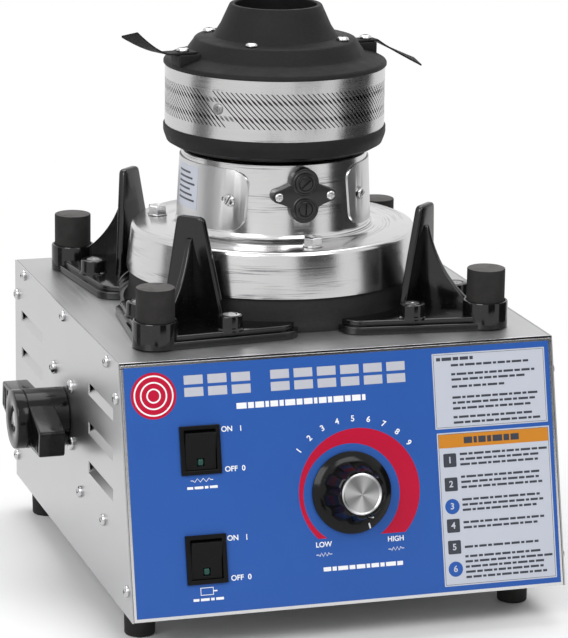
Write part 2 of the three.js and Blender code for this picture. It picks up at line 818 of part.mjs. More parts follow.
// The neck stands on the shoulder with a filleted foot, and has a window behind each cover plate
function housingNeck() {
  const tube = turned([
    [neckBaseRadius + neckFillet * 1.2, shoulderTop],
    [neckBaseRadius + neckFillet * 0.3, shoulderTop + neckFillet * 0.4],
    [neckBaseRadius, neckStart], [neckTopRadius, neckTop], [neckBore, neckTop], [neckBore, shoulderTop],
  ]);
  const reach = shoulderRadius;
  const windowBottom = shoulderTop + coverPlateRise + windowLap;
  const windowTop = shoulderTop + coverPlateRise + coverPlateHeight - windowLap;
  const inner = neckBore - 2 * windowLap;
  const windows = [[-reach, -inner], [inner, reach]].map(([x0, x1]) => (
    block(x0, x1, -windowHalfWidth, windowHalfWidth, windowBottom, windowTop)));
  const brushHoles = brushHeights.map((z) => (
    alongY(brushTubeRadius + holeGap, -neckBaseRadius - 5, -neckBore + 8, 0, z)));
  return cut(solid(tube), ...windows, ...brushHoles);
}

function housingBolt(angle) {
  const under = shoulderTop + seatGap;
  const place = around(boltCircle, angle);
  return joined(
    upright(boltHeadRadius, under, under + boltHeadHeight, ...place, 6),
    upright(boltRadius, deckTop + 4, under + 1, ...place, 6),
  );
}

const brushHeights = [brushCentre - brushSpacing / 2, brushCentre + brushSpacing / 2];
const brushTubeRadius = brushRadius + seatGap + brushTubeWall;

// A plate wrapped on the side of the neck, with rounded corners and a slot for a screw near each end
function coverPlate(side) {
  const z0 = shoulderTop + coverPlateRise;
  const z1 = z0 + coverPlateHeight;
  const inner = neckSkin(seatGap, z0, z1);
  const outer = neckSkin(seatGap + coverPlateWall, z0, z1).reverse();
  const wrap = solid(turned([...inner, ...outer]));
  const halfWidth = (neckBaseRadius + coverPlateWall) * Math.sin(THREE.MathUtils.degToRad(coverPlateHalfAngle));
  const face = roundedRectangle(halfWidth, coverPlateHeight / 2, coverPlateCorner);
  const trim = acrossX(face, 0, neckBaseRadius + 10, 3).translate(0, 0, (z0 + z1) / 2);
  const straight = (coverSlotLength - coverSlotWidth) / 2;
  const slot = roundedRectangle(coverSlotLength / 2, coverSlotWidth / 2, coverSlotWidth / 2.01);
  const slots = [45, 135].map((angle) => (
    acrossY(slot, -neckBaseRadius - 10, -neckBore + straight, 1).translate(0, 0, (z0 + z1) / 2)
      .rotateZ(THREE.MathUtils.degToRad(angle))));
  const plate = cut(wrap.intersect(solid(trim)), ...slots);
  return side > 0 ? plate : plate.mirror([1, 0, 0]);
}

const plateFront = neckBaseRadius + brushPlateThickness;

// The outline of the brush plate: a lobe round each cap and an ear for a screw at each side
function brushPlateShape() {
  const half = brushSpacing / 2;
  const lobeEnd = -0.15;
  const earEnd = 1.2;
  const [reach, ear, lobe] = [brushEarReach, brushEarRadius, brushLobeRadius];
  const lobeEndX = lobe * Math.cos(lobeEnd);
  const lobeEndY = half + lobe * Math.sin(lobeEnd);
  const earEndX = reach + ear * Math.cos(earEnd);
  const earEndY = ear * Math.sin(earEnd);
  const shape = new THREE.Shape();
  shape.moveTo(earEndX, -earEndY);
  shape.absarc(reach, 0, ear, -earEnd, earEnd);
  shape.quadraticCurveTo(lobe + 1.8, ear, lobeEndX, lobeEndY);
  shape.absarc(0, half, lobe, lobeEnd, Math.PI - lobeEnd);
  shape.quadraticCurveTo(-lobe - 1.8, ear, -earEndX, earEndY);
  shape.absarc(-reach, 0, ear, Math.PI - earEnd, Math.PI + earEnd);
  shape.quadraticCurveTo(-lobe - 1.8, -ear, -lobeEndX, -lobeEndY);
  shape.absarc(0, -half, lobe, Math.PI + lobeEnd, 2 * Math.PI - lobeEnd);
  shape.quadraticCurveTo(lobe + 1.8, -ear, earEndX, -earEndY);
  return shape;
}

// The moulded plate that carries two brush tubes, with its back hollowed to the neck
function brushPlate() {
  const lobed = acrossY(brushPlateShape(), -plateFront, -neckBore + 4, 5).translate(0, 0, brushCentre);
  const [z0, z1] = [neckStart - 4, neckTop + 2];
  const neck = turned([[0, z0], ...neckSkin(seatGap, z0, z1), [0, z1]]);
  const tubes = brushHeights.map((z) => alongY(brushTubeRadius, -plateFront + 1, -slipRingRadius - 5, 0, z, 10));
  const bores = brushHeights.map((z) => (
    alongY(brushRadius + seatGap, -plateFront - 1, -slipRingRadius, 0, z, 10)));
  return cut(cut(solid(lobed), neck).add(joined(...tubes)), ...bores);
}

const brushOuter = slipRingRadius + seatGap + brushLength;
const capShankEnd = plateFront - capShankLength;

// A carbon brush with the spring that pushes it in
function carbonBrush(z) {
  return joined(
    alongY(brushRadius, -brushOuter, -slipRingRadius - seatGap, 0, z, 10),
    alongY(brushRadius - 0.7, -capShankEnd + seatGap, -brushOuter + 0.5, 0, z, 8),
  );
}

// A brush cap: a shank in the brush's bore, a wide rim and a smaller slotted boss
function brushCap(z) {
  const front = -plateFront - seatGap;
  const face = front - brushCapHeight;
  const cap = joined(
    alongY(brushRadius, front - 0.5, -capShankEnd, 0, z, 10),
    alongY(brushCapRadius, front - brushCapHeight * 0.6, front, 0, z, 16),
    alongY(brushCapRadius * 0.7, face, front - 0.5, 0, z, 16),
  );
  return cut(cap, block(-brushCapRadius, brushCapRadius, face - 1, face + brushCapHeight * 0.4, z - 0.9, z + 0.9));
}

// Motor, shaft and slip rings

const motorBottom = ledgeTop - motorLength;

function motorCase() {
  const bore = shaftRadius + 1.2;
  const seat = bushRadius + seatGap;
  const top = flangeTop + 12;
  const body = turned([
    [seat, motorBottom], [motorRadius, motorBottom], [motorRadius, ledgeTop], [ledgeRadius - seatGap, ledgeTop],
    [ledgeRadius - seatGap, flangeTop], [motorRadius * 0.9, flangeTop], [bore, top],
    [bore, motorBottom + bushLength], [seat, motorBottom + bushLength],
  ]);
  return cut(solid(body), ...boltHoles(ledgeTop - 1, flangeTop + 1));
}

function shaftBush(z) {
  const bore = (shaftRadius + bushGap) / Math.cos(Math.PI / shaftSides);
  const top = z + bushLength - seatGap;
  return turned([[bore, z], [bushRadius, z], [bushRadius, top], [bore, top]], shaftSides);
}

const slipHubBottom = hubTop + 4;
const slipHubTop = headBottom - 5;
const headHubTop = headFloor + 12;

function mainShaft() {
  const bottom = motorBottom - fanHeight - 8;
  return turned([
    [0, bottom], [shaftRadius, bottom], [shaftRadius, hubTop + seatGap], [shaftRadius + 6, hubTop + seatGap],
    [shaftRadius + 6, slipHubBottom - seatGap], [shaftRadius, slipHubBottom - seatGap],
    [shaftRadius, headHubTop + seatGap], [shaftRadius + 5, headHubTop + seatGap],
    [shaftRadius + 5, headHubTop + 6], [shaftRadius, headHubTop + 9], [0, headHubTop + 9],
  ], shaftSides);
}

function coolingFan() {
  const top = motorBottom - 4;
  const bottom = top - fanHeight;
  const bore = shaftRadius + seatGap;
  const rotor = turned([
    [bore, bottom], [bore + 6, bottom], [bore + 6, top - 1.5], [fanRadius, top - 1.5], [fanRadius, top], [bore, top],
  ], 16);
  const blades = Array.from({ length: fanBlades }, (_, i) => (
    block(bore + 5, fanRadius - 1, -0.9, 0.9, bottom + 2, top - 1).rotateZ((2 * Math.PI * i) / fanBlades)));
  return joined(rotor, ...blades);
}

const terminalPlaces = [90, -90].map((angle) => around(hubRadius + 4, angle));

function slipRingHub() {
  const bore = shaftRadius + seatGap;
  const half = slipRingHeight / 2 + seatGap;
  const disc = slipHubRadius + 6;
  const [low, high] = brushHeights;
  const barrel = turned([
    [bore, slipHubBottom], [disc, slipHubBottom], [disc, low - half], [slipHubRadius, low - half],
    [slipHubRadius, low + half], [disc, low + half], [disc, high - half], [slipHubRadius, high - half],
    [slipHubRadius, high + half], [disc, high + half], [disc, slipHubTop], [bore, slipHubTop],
  ], slipSides);
  const leads = terminalPlaces.map(([x, y]) => upright(leadRadius, slipHubTop - 2, headFloor + 10, x, y, 6));
  return joined(barrel, ...leads);
}

function slipRing(z) {
  const bore = slipHubRadius + seatGap;
  const half = slipRingHeight / 2;
  return turned([[bore, z - half], [slipRingRadius, z - half], [slipRingRadius, z + half], [bore, z + half]], slipSides);
}

// Spinning head

const ribbonSeat = headFloor;

function headBase() {
  const bore = shaftRadius + seatGap;
  const hubBottomZ = slipHubTop + seatGap;
  const rimBottom = rimTop - lowerRim;
  const casting = turned([
    [bore, hubBottomZ], [hubRadius, hubBottomZ], [hubRadius, headBottom], [neckTopRadius + 0.5, headBottom + 0.4],
    [headRadius - 5, headBottom + 3.6], [headRadius, rimBottom + 1.5], [headRadius, rimTop],
    [ribbonRadius + ribbonWave + 3, rimTop], [ribbonRadius + ribbonWave + 3, headFloor],
    [hubRadius - 4, headFloor], [hubRadius - 4, headHubTop], [bore, headHubTop],
  ]);
  const posts = coverScrewPlaces.map(([x, y]) => upright(postRadius, headFloor - 1, postTop, x, y, 6));
  const leadHoles = terminalPlaces.map(([x, y]) => (
    upright(leadRadius + holeGap, headBottom - 1, headFloor + 1, x, y, 6)));
  return cut(joined(casting, ...posts), ...leadHoles);
}

// The slotted band. Its columns of points lean with the slots: each slot has two edges, and the band
// stays whole above and below the slots and at the two seams. The rims have one point to two slots.
function headBand() {
  const slotCount = 2 * slotPairs;
  const pitch = (2 * Math.PI) / slotCount;
  const share = slotWidth / (pitch * bandRadius * Math.cos(THREE.MathUtils.degToRad(slotLean)));
  const lean = Math.tan(THREE.MathUtils.degToRad(slotLean)) / bandRadius;
  const fieldBottom = rimTop + (bandHeight - slotField) / 2;
  const middle = fieldBottom + slotField / 2;
  const fieldTop = fieldBottom + slotField;
  const levels = [rimTop, fieldBottom, middle, fieldTop, bandTop];
  const [low, high, top] = [1, 3, 4];
  const seamTurn = THREE.MathUtils.degToRad(slotSeam);
  const positions = [];
  const order = [];
  const known = new Map();
  const wrapped = (i) => (i + slotCount) % slotCount;
  const isSlot = (i) => {
    const place = wrapped(i) % slotPairs;
    return place >= slotBlank / 2 && place <= slotPairs - slotBlank / 2;
  };
  const vertex = (i, edge, level, inside) => {
    const key = `${wrapped(i)} ${edge} ${level} ${inside}`;
    if (!known.has(key)) {
      const slantZ = Math.min(Math.max(levels[level], fieldBottom), fieldTop);
      const angle = seamTurn + (wrapped(i) + edge * share) * pitch + (middle - slantZ) * lean;
      const radius = inside ? bandRadius - bandWall : bandRadius;
      known.set(key, positions.length / 3);
      positions.push(radius * Math.sin(angle), -radius * Math.cos(angle), levels[level]);
    }
    return known.get(key);
  };
  const rim = (i, level, inside) => vertex(i, 0.5, level, inside);
  // Faces turn the other way round on the inside of the band and where they look down
  const triangle = (a, b, c, turnedRound) => order.push(a, ...(turnedRound ? [c, b] : [b, c]));
  const quad = (a, b, c, d, turnedRound) => {
    triangle(a, b, c, turnedRound);
    triangle(a, c, d, turnedRound);
  };
  for (let i = 0; i < slotCount; i += 1) {
    for (const inside of [false, true]) {
      for (let level = low; level < high; level += 1) {
        const at = (j, edge, up) => vertex(j, edge, level + up, inside);
        quad(at(i, 1, 0), at(i + 1, 0, 0), at(i + 1, 0, 1), at(i, 1, 1), inside);
        if (!isSlot(i)) quad(at(i, 0, 0), at(i, 1, 0), at(i, 1, 1), at(i, 0, 1), inside);
      }
      for (const [level, rimLevel, over] of [[low, 0, inside], [high, top, !inside]]) {
        const at = (j, edge) => vertex(j, edge, level, inside);
        const pairStart = i - (i % 2);
        const near = rim(pairStart, rimLevel, inside);
        const next = rim(pairStart + 2, rimLevel, inside);
        const anchor = i % 2 ? next : near;
        triangle(anchor, at(i, 1), at(i, 0), over);
        triangle(anchor, at(i + 1, 0), at(i, 1), over);
        if (i % 2) triangle(near, next, at(i, 0), over);
      }
    }
    if (i % 2 === 0) {
      for (const [level, down] of [[0, true], [top, false]]) {
        quad(rim(i, level, false), rim(i + 2, level, false), rim(i + 2, level, true), rim(i, level, true), down);
      }
    }
    if (isSlot(i)) {
      for (let level = low; level < high; level += 1) {
        for (const [edge, left] of [[1, false], [0, true]]) {
          quad(vertex(i, edge, level, false), vertex(i, edge, level + 1, false),
            vertex(i, edge, level + 1, true), vertex(i, edge, level, true), left);
        }
      }
      for (const [level, over] of [[low, false], [high, true]]) {
        quad(vertex(i, 0, level, false), vertex(i, 1, level, false),
          vertex(i, 1, level, true), vertex(i, 0, level, true), over);
      }
    }
  }
  const geometry = new THREE.BufferGeometry();
  geometry.setAttribute('position', new THREE.BufferAttribute(new Float32Array(positions), 3));
  geometry.setIndex(order);
  return outward(geometry);
}

const shoulderZ = bandTop + coverShoulderRise;
const coverUnder = shoulderZ - coverDomeWall;
const stepZ = bandTop + coverStepRise;
const postTop = stepZ - coverDomeWall - 1;
const coverScrewPlaces = [0, 90, 180, 270].map((turn) => around(coverScrewCircle, coverScrewAngle + turn));
const vaneAngles = { vane_left: vaneLeftAngle, vane_right: vaneLeftAngle + 180 };
const vaneSeat = bandTop + vanePadTop;
const vaneStart = coverStepRadius + 0.6;

function headCover() {
  const neckTopZ = bandTop + sugarNeckRise;
  const casting = turned([
    [headRadius - 5, bandTop], [headRadius, bandTop], [headRadius, bandTop + coverRim - 1.5],
    [headRadius - 2.7, bandTop + coverRim], [coverStepRadius, stepZ], [coverShoulderRadius, shoulderZ],
    [sugarNeckBase + 1.5, shoulderZ], [sugarNeckBase, shoulderZ + 3],
    [sugarNeckRadius, neckTopZ], [sugarNeckRadius - coverWall, neckTopZ],
    [sugarNeckBase - coverWall - 1, coverUnder], [coverShoulderRadius - 5, coverUnder],
    [coverStepRadius - 5, stepZ - coverDomeWall],
  ]);
  const screwBosses = coverScrewPlaces.map(([x, y]) => (
    upright(postRadius + 2, postTop, coverUnder + 1, x, y, 6)));
  const vanePads = Object.values(vaneAngles).map((angle) => (
    block(vaneStart - 2, headRadius - 0.7, -vanePadHalf, vanePadHalf, bandTop + 2, vaneSeat)
      .rotateZ(THREE.MathUtils.degToRad(angle - 90))));
  return joined(casting, ...screwBosses, ...vanePads);
}

// The heating ribbon: a thin strip folded into waves all the way round, standing on its seat
function heaterRibbon() {
  const steps = ribbonWaves * 2;
  const z0 = ribbonSeat + seatGap;
  const ring = (offset, z) => Array.from({ length: steps }, (_, i) => {
    const radius = ribbonRadius + (i % 2 ? -ribbonWave : ribbonWave) + offset;
    return new THREE.Vector3(...around(radius, (360 * i) / steps), z);
  });
  const outer = lofted([ring(ribbonWall / 2, z0), ring(ribbonWall / 2, z0 + ribbonHeight)]);
  const inner = lofted([ring(-ribbonWall / 2, z0 - 1), ring(-ribbonWall / 2, z0 + ribbonHeight + 1)]);
  return cut(solid(outer), inner);
}

// A strap vane: flat on its pad, then curving out and up or down, and twisting toward its tip.
// The rising one ends in a slanted edge.
function strapVane(name) {
  const rising = name === 'vane_left';
  const flat = headRadius + (rising ? vaneLeftFlat : 0.5);
  const steps = 7;
  const stations = [vaneStart, ...Array.from({ length: steps + 1 }, (_, i) => (
    flat + ((vaneReach - flat) * i) / steps))];
  const rings = stations.map((radius) => {
    const share = Math.max(0, (radius - flat) / (vaneReach - flat));
    const lift = rising ? vaneLift * share ** 1.5 : -vaneDrop * share ** 0.9;
    const twist = THREE.MathUtils.degToRad(vaneTwist * share);
    const half = vaneWidth / 2 + (rising ? 1.5 * share : 0);
    const centreZ = vaneSeat + seatGap + vaneWall / 2 + lift;
    return [[-half, -1], [half, -1], [half, 1], [-half, 1]].map(([across, side]) => {
      const up = (side * vaneWall) / 2;
      const y = across * Math.cos(twist) - up * Math.sin(twist);
      const shorter = rising ? vaneTipCut * share * (0.5 + across / (2 * half)) : 0;
      return new THREE.Vector3(radius - shorter, y, centreZ + across * Math.sin(twist) + up * Math.cos(twist));
    });
  });
  return lofted(rings).rotateZ(THREE.MathUtils.degToRad(vaneAngles[name] - 90));
}

// Side knob and its control

const sideKnobGroup = new THREE.Group();
sideKnobGroup.position.set(-cabinetWidth / 2, sideKnobY, sideKnobZ);
sideKnobGroup.rotation.y = -Math.PI / 2;
machine.add(sideKnobGroup);

// The wings of the side knob in plan: wide at the barrel, narrower and rounded at both tips
function wingShape() {
  const [tip, tipHalf, rootHalf] = [sideWingReach, sideWingTipHalf, sideWingRootHalf];
  const corner = 3;
  const shape = new THREE.Shape();
  shape.moveTo(rootHalf, 0);
  shape.lineTo(tipHalf, tip - corner);
  shape.quadraticCurveTo(tipHalf, tip, tipHalf - corner, tip);
  shape.lineTo(-tipHalf + corner, tip);
  shape.quadraticCurveTo(-tipHalf, tip, -tipHalf, tip - corner);
  shape.lineTo(-rootHalf, 0);
  return shape;
}

function sideKnob() {
  const wingEnd = sideWingStart + sideWingThickness;
  const ringStart = wingEnd + 1;
  const ringEnd = ringStart + sideRingThickness;
  const barrel = turned([
    [0, 0.8], [sideBarrelRadius, 0.8], [sideBarrelRadius, wingEnd], [sideBarrelRadius - sideGroove, wingEnd],
    [sideBarrelRadius - sideGroove, ringStart], [sideBarrelRadius, ringStart], [sideBarrelRadius, ringEnd - 1],
    [sideBarrelRadius - 1, ringEnd], [0, ringEnd],
  ], 20);
  const wings = [0, Math.PI].map((turn) => (
    extruded(wingShape(), sideWingThickness, 3).translate(0, 0, sideWingStart).rotateZ(turn)));
  // Pockets between the ribs of the outer face
  const pockets = [];
  const ribPitch = (sideWingReach - sideBarrelRadius - 9) / wingPockets;
  for (const turn of [0, Math.PI]) {
    for (let i = 0; i < wingPockets; i += 1) {
      const y0 = sideBarrelRadius + 6 + i * ribPitch;
      const half = sideWingTipHalf - 3 + (sideWingReach - y0) * 0.1;
      pockets.push(block(-half, half, y0, y0 + ribPitch - 1.8, wingEnd - 9, wingEnd + 1).rotateZ(turn));
    }
  }
  const recess = upright(sideScrewRadius + 1, ringEnd - 6, ringEnd + 1, 0, 0, 12);
  const bore = upright(sideSpindleRadius + seatGap, -1, ringEnd, 0, 0, 12);
  const knob = cut(joined(barrel, ...wings), recess, bore, ...pockets);
  return knob.rotate([0, 0, -sideKnobTilt]);
}

// The long screw through the side knob, which is the spindle of the control
function sideKnobScrew() {
  const seat = sideWingStart + sideWingThickness + 1 + sideRingThickness - 6 + seatGap;
  return turned([
    [0, -sheet - sideSpindleReach], [sideSpindleRadius, -sheet - sideSpindleReach], [sideSpindleRadius, seat], [sideScrewRadius, seat],
    [sideScrewRadius, seat + 1.5], [sideScrewRadius * 0.75, seat + 4], [0, seat + 5],
  ], 12);
}

function sideControl() {
  const face = -sideInner + seatGap;
  const halfY = sideControlHalfY + 8;
  const halfZ = sideControlHalfZ + 8;
  const body = block(face, face + sideControlDepth, sideControlY - halfY, sideControlY + halfY,
    sideControlZ - halfZ, sideControlZ + halfZ);
  const bore = alongX(sideSpindleRadius + seatGap, face - 1, face + sideSpindleReach + sideSpindleRoom, sideKnobY, sideKnobZ, 12);
  return cut(solid(body), bore);
}

function cordGland() {
  const outer = rear + seatGap;
  const gland = turned([
    [glandBore, -9], [glandRadius, -9], [glandRadius, 0], [glandRadius + 4, 0], [glandRadius + 4, 2.5],
    [glandRadius + 1, 5], [glandBore, 5],
  ], 12);
  return gland.rotateX(-Math.PI / 2).translate(glandAcross, outer, glandUp);
}

addPart(machine, 'base_pan', basePan(), 'stainless');
addPart(machine, 'top_cover', topCover(), 'stainless');
addPart(machine, 'left_side_panel', sidePanel(-1), 'stainless');
addPart(machine, 'right_side_panel', sidePanel(1), 'stainless');
addPart(machine, 'rear_panel', rearPanel(), 'stainless');
addPart(machine, 'cord_gland', cordGland(), 'mouldedBlack');

addPart(controls, 'control_panel', controlPanel(), 'stainless');
addPart(controls, 'control_label', controlLabel(), 'label');
for (const [name, up] of [['heat_switch', heatSwitchUp], ['master_switch', masterSwitchUp]]) {
  addPart(controls, `${name}_body`, switchBody(up), 'mouldedBlack');
  addPart(controls, `${name}_rocker`, rocker(up), 'mouldedBlack');
  addPart(controls, `${name}_lens`, lens(up), 'green');
}
addPart(controls, 'heat_knob', heatKnob(), 'mouldedBlack');
addPart(controls, 'knob_cap', knobCap(), 'turned');
addPart(controls, 'heat_control', heatControl(), 'darkSteel');
addPart(controls, 'heat_spindle', heatSpindle(), 'darkSteel');

const bracketSolid = bracket();
for (const [corner, side, end] of corners) {
  addPart(machine, `foot_${corner}`, foot(...footPlace(side, end)), 'rubber');
  const turn = (Math.atan2(end, side) * 180) / Math.PI - 45;
  addPart(machine, `bracket_${corner}`, bracketSolid.rotate([0, 0, turn]).translate([0, 0, deckTop]),
    'mouldedBlack');
  addPart(machine, `bumper_${corner}`, bumper(side * cornerBossPlace, end * cornerBossPlace), 'rubber');
}

addPart(machine, 'collar', collar(), 'castBlack');
addPart(machine, 'brush_housing', brushHousing(), 'turned');
addPart(machine, 'housing_neck', housingNeck(), 'turned');
addPart(machine, 'housing_bolt_front', housingBolt(boltAngles[0]), 'zinc');
addPart(machine, 'housing_bolt_right', housingBolt(boltAngles[1]), 'zinc');
addPart(machine, 'housing_bolt_left', housingBolt(boltAngles[2]), 'zinc');
addPart(machine, 'cover_plate_left', coverPlate(-1), 'stainless');
addPart(machine, 'cover_plate_right', coverPlate(1), 'stainless');
addPart(machine, 'brush_plate', brushPlate(), 'mouldedBlack');
['lower', 'upper'].forEach((place, i) => {
  addPart(machine, `brush_cap_${place}`, brushCap(brushHeights[i]), 'mouldedBlack');
  addPart(machine, `carbon_brush_${place}`, carbonBrush(brushHeights[i]), 'carbon');
  addPart(machine, `slip_ring_${place}`, slipRing(brushHeights[i]), 'bronze');
});

addPart(machine, 'motor_case', motorCase(), 'darkSteel');
addPart(machine, 'shaft_bush_lower', shaftBush(motorBottom), 'bronze');
addPart(machine, 'shaft_bush_upper', shaftBush(hubTop - bushLength), 'bronze');
addPart(machine, 'main_shaft', mainShaft(), 'darkSteel');
addPart(machine, 'cooling_fan', coolingFan(), 'darkSteel');
addPart(machine, 'slip_ring_hub', slipRingHub(), 'mouldedBlack');

addPart(machine, 'head_base', headBase(), 'castBlack');
addPart(machine, 'head_band', headBand(), 'turned');
addPart(machine, 'head_cover', headCover(), 'castBlack');
addPart(machine, 'heater_ribbon', heaterRibbon(), 'darkSteel');
addPart(machine, 'vane_left', strapVane('vane_left'), 'castBlack');
addPart(machine, 'vane_right', strapVane('vane_right'), 'castBlack');

addPart(sideKnobGroup, 'side_knob', sideKnob(), 'mouldedBlack');
addPart(sideKnobGroup, 'side_knob_screw', sideKnobScrew(), 'zinc');
addPart(machine, 'side_control', sideControl(), 'mouldedBlack');

export default machine;
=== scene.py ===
import json
import math
import bmesh
import bpy
from mathutils import Matrix, Vector

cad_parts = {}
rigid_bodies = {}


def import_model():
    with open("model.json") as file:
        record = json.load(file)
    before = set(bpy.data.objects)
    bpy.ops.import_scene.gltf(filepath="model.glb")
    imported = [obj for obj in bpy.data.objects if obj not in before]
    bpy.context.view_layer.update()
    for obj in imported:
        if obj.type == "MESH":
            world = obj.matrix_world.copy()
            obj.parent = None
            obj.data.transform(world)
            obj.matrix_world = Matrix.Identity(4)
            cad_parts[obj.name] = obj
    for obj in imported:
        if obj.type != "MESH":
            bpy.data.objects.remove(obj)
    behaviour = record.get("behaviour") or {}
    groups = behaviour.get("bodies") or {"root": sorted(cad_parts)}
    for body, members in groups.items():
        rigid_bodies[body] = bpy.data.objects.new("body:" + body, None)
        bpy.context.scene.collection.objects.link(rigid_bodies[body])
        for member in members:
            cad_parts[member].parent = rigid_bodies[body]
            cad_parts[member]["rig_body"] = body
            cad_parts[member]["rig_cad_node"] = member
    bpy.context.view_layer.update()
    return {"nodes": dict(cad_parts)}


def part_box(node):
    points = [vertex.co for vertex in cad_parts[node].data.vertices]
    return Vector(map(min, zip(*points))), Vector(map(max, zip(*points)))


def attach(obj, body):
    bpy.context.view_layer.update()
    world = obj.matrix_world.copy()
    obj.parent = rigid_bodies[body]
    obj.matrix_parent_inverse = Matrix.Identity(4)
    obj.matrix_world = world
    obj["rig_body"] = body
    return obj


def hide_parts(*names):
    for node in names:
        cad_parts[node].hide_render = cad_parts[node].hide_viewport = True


# Table-top floss-sugar spinning machine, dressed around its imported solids. Metres, Z up, panel toward -Y.
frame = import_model()
nodes = frame["nodes"]
mm = 0.001


def deselect():
    bpy.ops.object.select_all(action='DESELECT')


def activate(piece):
    deselect()
    piece.select_set(True)
    bpy.context.view_layer.objects.active = piece


def applyPlace(piece):
    activate(piece)
    bpy.ops.object.transform_apply(location=True, rotation=True, scale=True)
    return piece


def placed(piece, matrix):
    piece.matrix_world = matrix @ piece.matrix_world
    return applyPlace(piece)


def applyModifiers(piece):
    activate(piece)
    for modifier in list(piece.modifiers):
        bpy.ops.object.modifier_apply(modifier=modifier.name)
    return piece


def drop(piece):
    bpy.data.objects.remove(piece, do_unlink=True)


def smoothed(piece, degrees=32):
    activate(piece)
    bpy.ops.object.shade_smooth_by_angle(angle=math.radians(degrees))
    return piece


# Normals weighted by face size, so that a flat sheet shades flat up to its rounded edges
def levelled(piece):
    weighting = piece.modifiers.new("flatShading", 'WEIGHTED_NORMAL')
    weighting.weight = 100
    weighting.keep_sharp = True
    return applyModifiers(piece)


def cleaned(piece):
    activate(piece)
    bpy.ops.object.mode_set(mode='EDIT')
    bpy.ops.mesh.select_all(action='SELECT')
    bpy.ops.mesh.remove_doubles(threshold=1e-6)
    bpy.ops.mesh.normals_make_consistent(inside=False)
    bpy.ops.object.mode_set(mode='OBJECT')
    return piece


def rounded(piece, width, segments=3, degrees=30):
    bevel = piece.modifiers.new("edges", 'BEVEL')
    bevel.width = width
    bevel.segments = segments
    bevel.limit_method = 'ANGLE'
    bevel.angle_limit = math.radians(degrees)
    return applyModifiers(piece)


def combine(piece, tool, operation='DIFFERENCE'):
    change = piece.modifiers.new("shape", 'BOOLEAN')
    change.operation = operation
    change.object = tool
    change.solver = 'EXACT'
    applyModifiers(piece)
    drop(tool)
    return piece


def joined(name, pieces):
    activate(pieces[0])
    for piece in pieces:
        piece.select_set(True)
    bpy.ops.object.join()
    pieces[0].name = name
    return pieces[0]


def copied(piece, name, matrix=None):
    twin = piece.copy()
    twin.data = piece.data.copy()
    twin.name = name
    bpy.context.scene.collection.objects.link(twin)
    if matrix is not None:
        twin.data.transform(matrix)
    return twin


# A turned piece: a circle drawn out ring by ring along [radius, height] pairs.
# It is closed with a flat face at each end, or joined to itself as a ring.
def turned(name, profile, steps=64, ring=False):
    deselect()
    radius, height = profile[0]
    bpy.ops.mesh.primitive_circle_add(vertices=steps, radius=radius, location=(0, 0, height))
    piece = bpy.context.object
    piece.name = name
    applyPlace(piece)
    bpy.ops.object.mode_set(mode='EDIT')
    bpy.ops.mesh.select_all(action='SELECT')
    if not ring:
        bpy.ops.mesh.edge_face_add()
    for nextRadius, nextHeight in profile[1:] + (profile[:1] if ring else []):
        bpy.ops.mesh.extrude_edges_move(TRANSFORM_OT_translate={"value": (0, 0, nextHeight - height)})
        share = nextRadius / radius
        bpy.ops.transform.resize(value=(share, share, 1), center_override=(0, 0, nextHeight))
        radius, height = nextRadius, nextHeight
    if not ring:
        bpy.ops.mesh.edge_face_add()
    bpy.ops.object.mode_set(mode='OBJECT')
    return smoothed(cleaned(piece))


# A turned piece from rows: each names a radius and a height, and gives offsets from them in millimetres
def lathed(name, rows, marks, steps=64, ring=False):
    marks = {"zero": 0, **marks}
    profile = [(marks[across] + x * mm, marks[up] + y * mm)
               for across, up, *offsets in rows for x, y in offsets or [(0, 0)]]
    return turned(name, profile, steps, ring)


def box(name, low, high):
    deselect()
    middle = [(a + b) / 2 for a, b in zip(low, high)]
    bpy.ops.mesh.primitive_cube_add(size=1, location=middle)
    piece = bpy.context.object
    piece.name = name
    piece.scale = [b - a for a, b in zip(low, high)]
    return applyPlace(piece)


def cylinder(name, radius, low, high, steps):
    deselect()
    bpy.ops.mesh.primitive_cylinder_add(
        vertices=steps, radius=radius, depth=high - low, location=(0, 0, (low + high) / 2))
    piece = bpy.context.object
    piece.name = name
    return applyPlace(piece)


# Points of a curve that leaves its start toward the bend and reaches its end from there
def curved(start, bend, end, shares):
    start, bend, end = Vector(start), Vector(bend), Vector(end)
    return [tuple(start * (1 - t) ** 2 + bend * 2 * t * (1 - t) + end * t ** 2) for t in shares]


# Corners of an outline turned into short arcs
def softCorners(points, radius, steps=5):
    outline = []
    for i, corner in enumerate(points):
        corner = Vector(corner)
        before = Vector(points[i - 1]) - corner
        after = Vector(points[(i + 1) % len(points)]) - corner
        reach = min(radius, before.length * 0.45, after.length * 0.45)
        outline += curved(corner + before.normalized() * reach, corner, corner + after.normalized() * reach,
                          [k / steps for k in range(steps + 1)])
    return outline


def arc(x, y, radius, start, end, steps):
    turns = [math.radians(start + (end - start) * k / steps) for k in range(steps + 1)]
    return [(x + radius * math.cos(turn), y + radius * math.sin(turn)) for turn in turns]


def rectangle(left, right, low, high, corner=0.0, steps=4):
    points = [(left, low), (right, low), (right, high), (left, high)]
    return softCorners(points, corner, steps) if corner else points


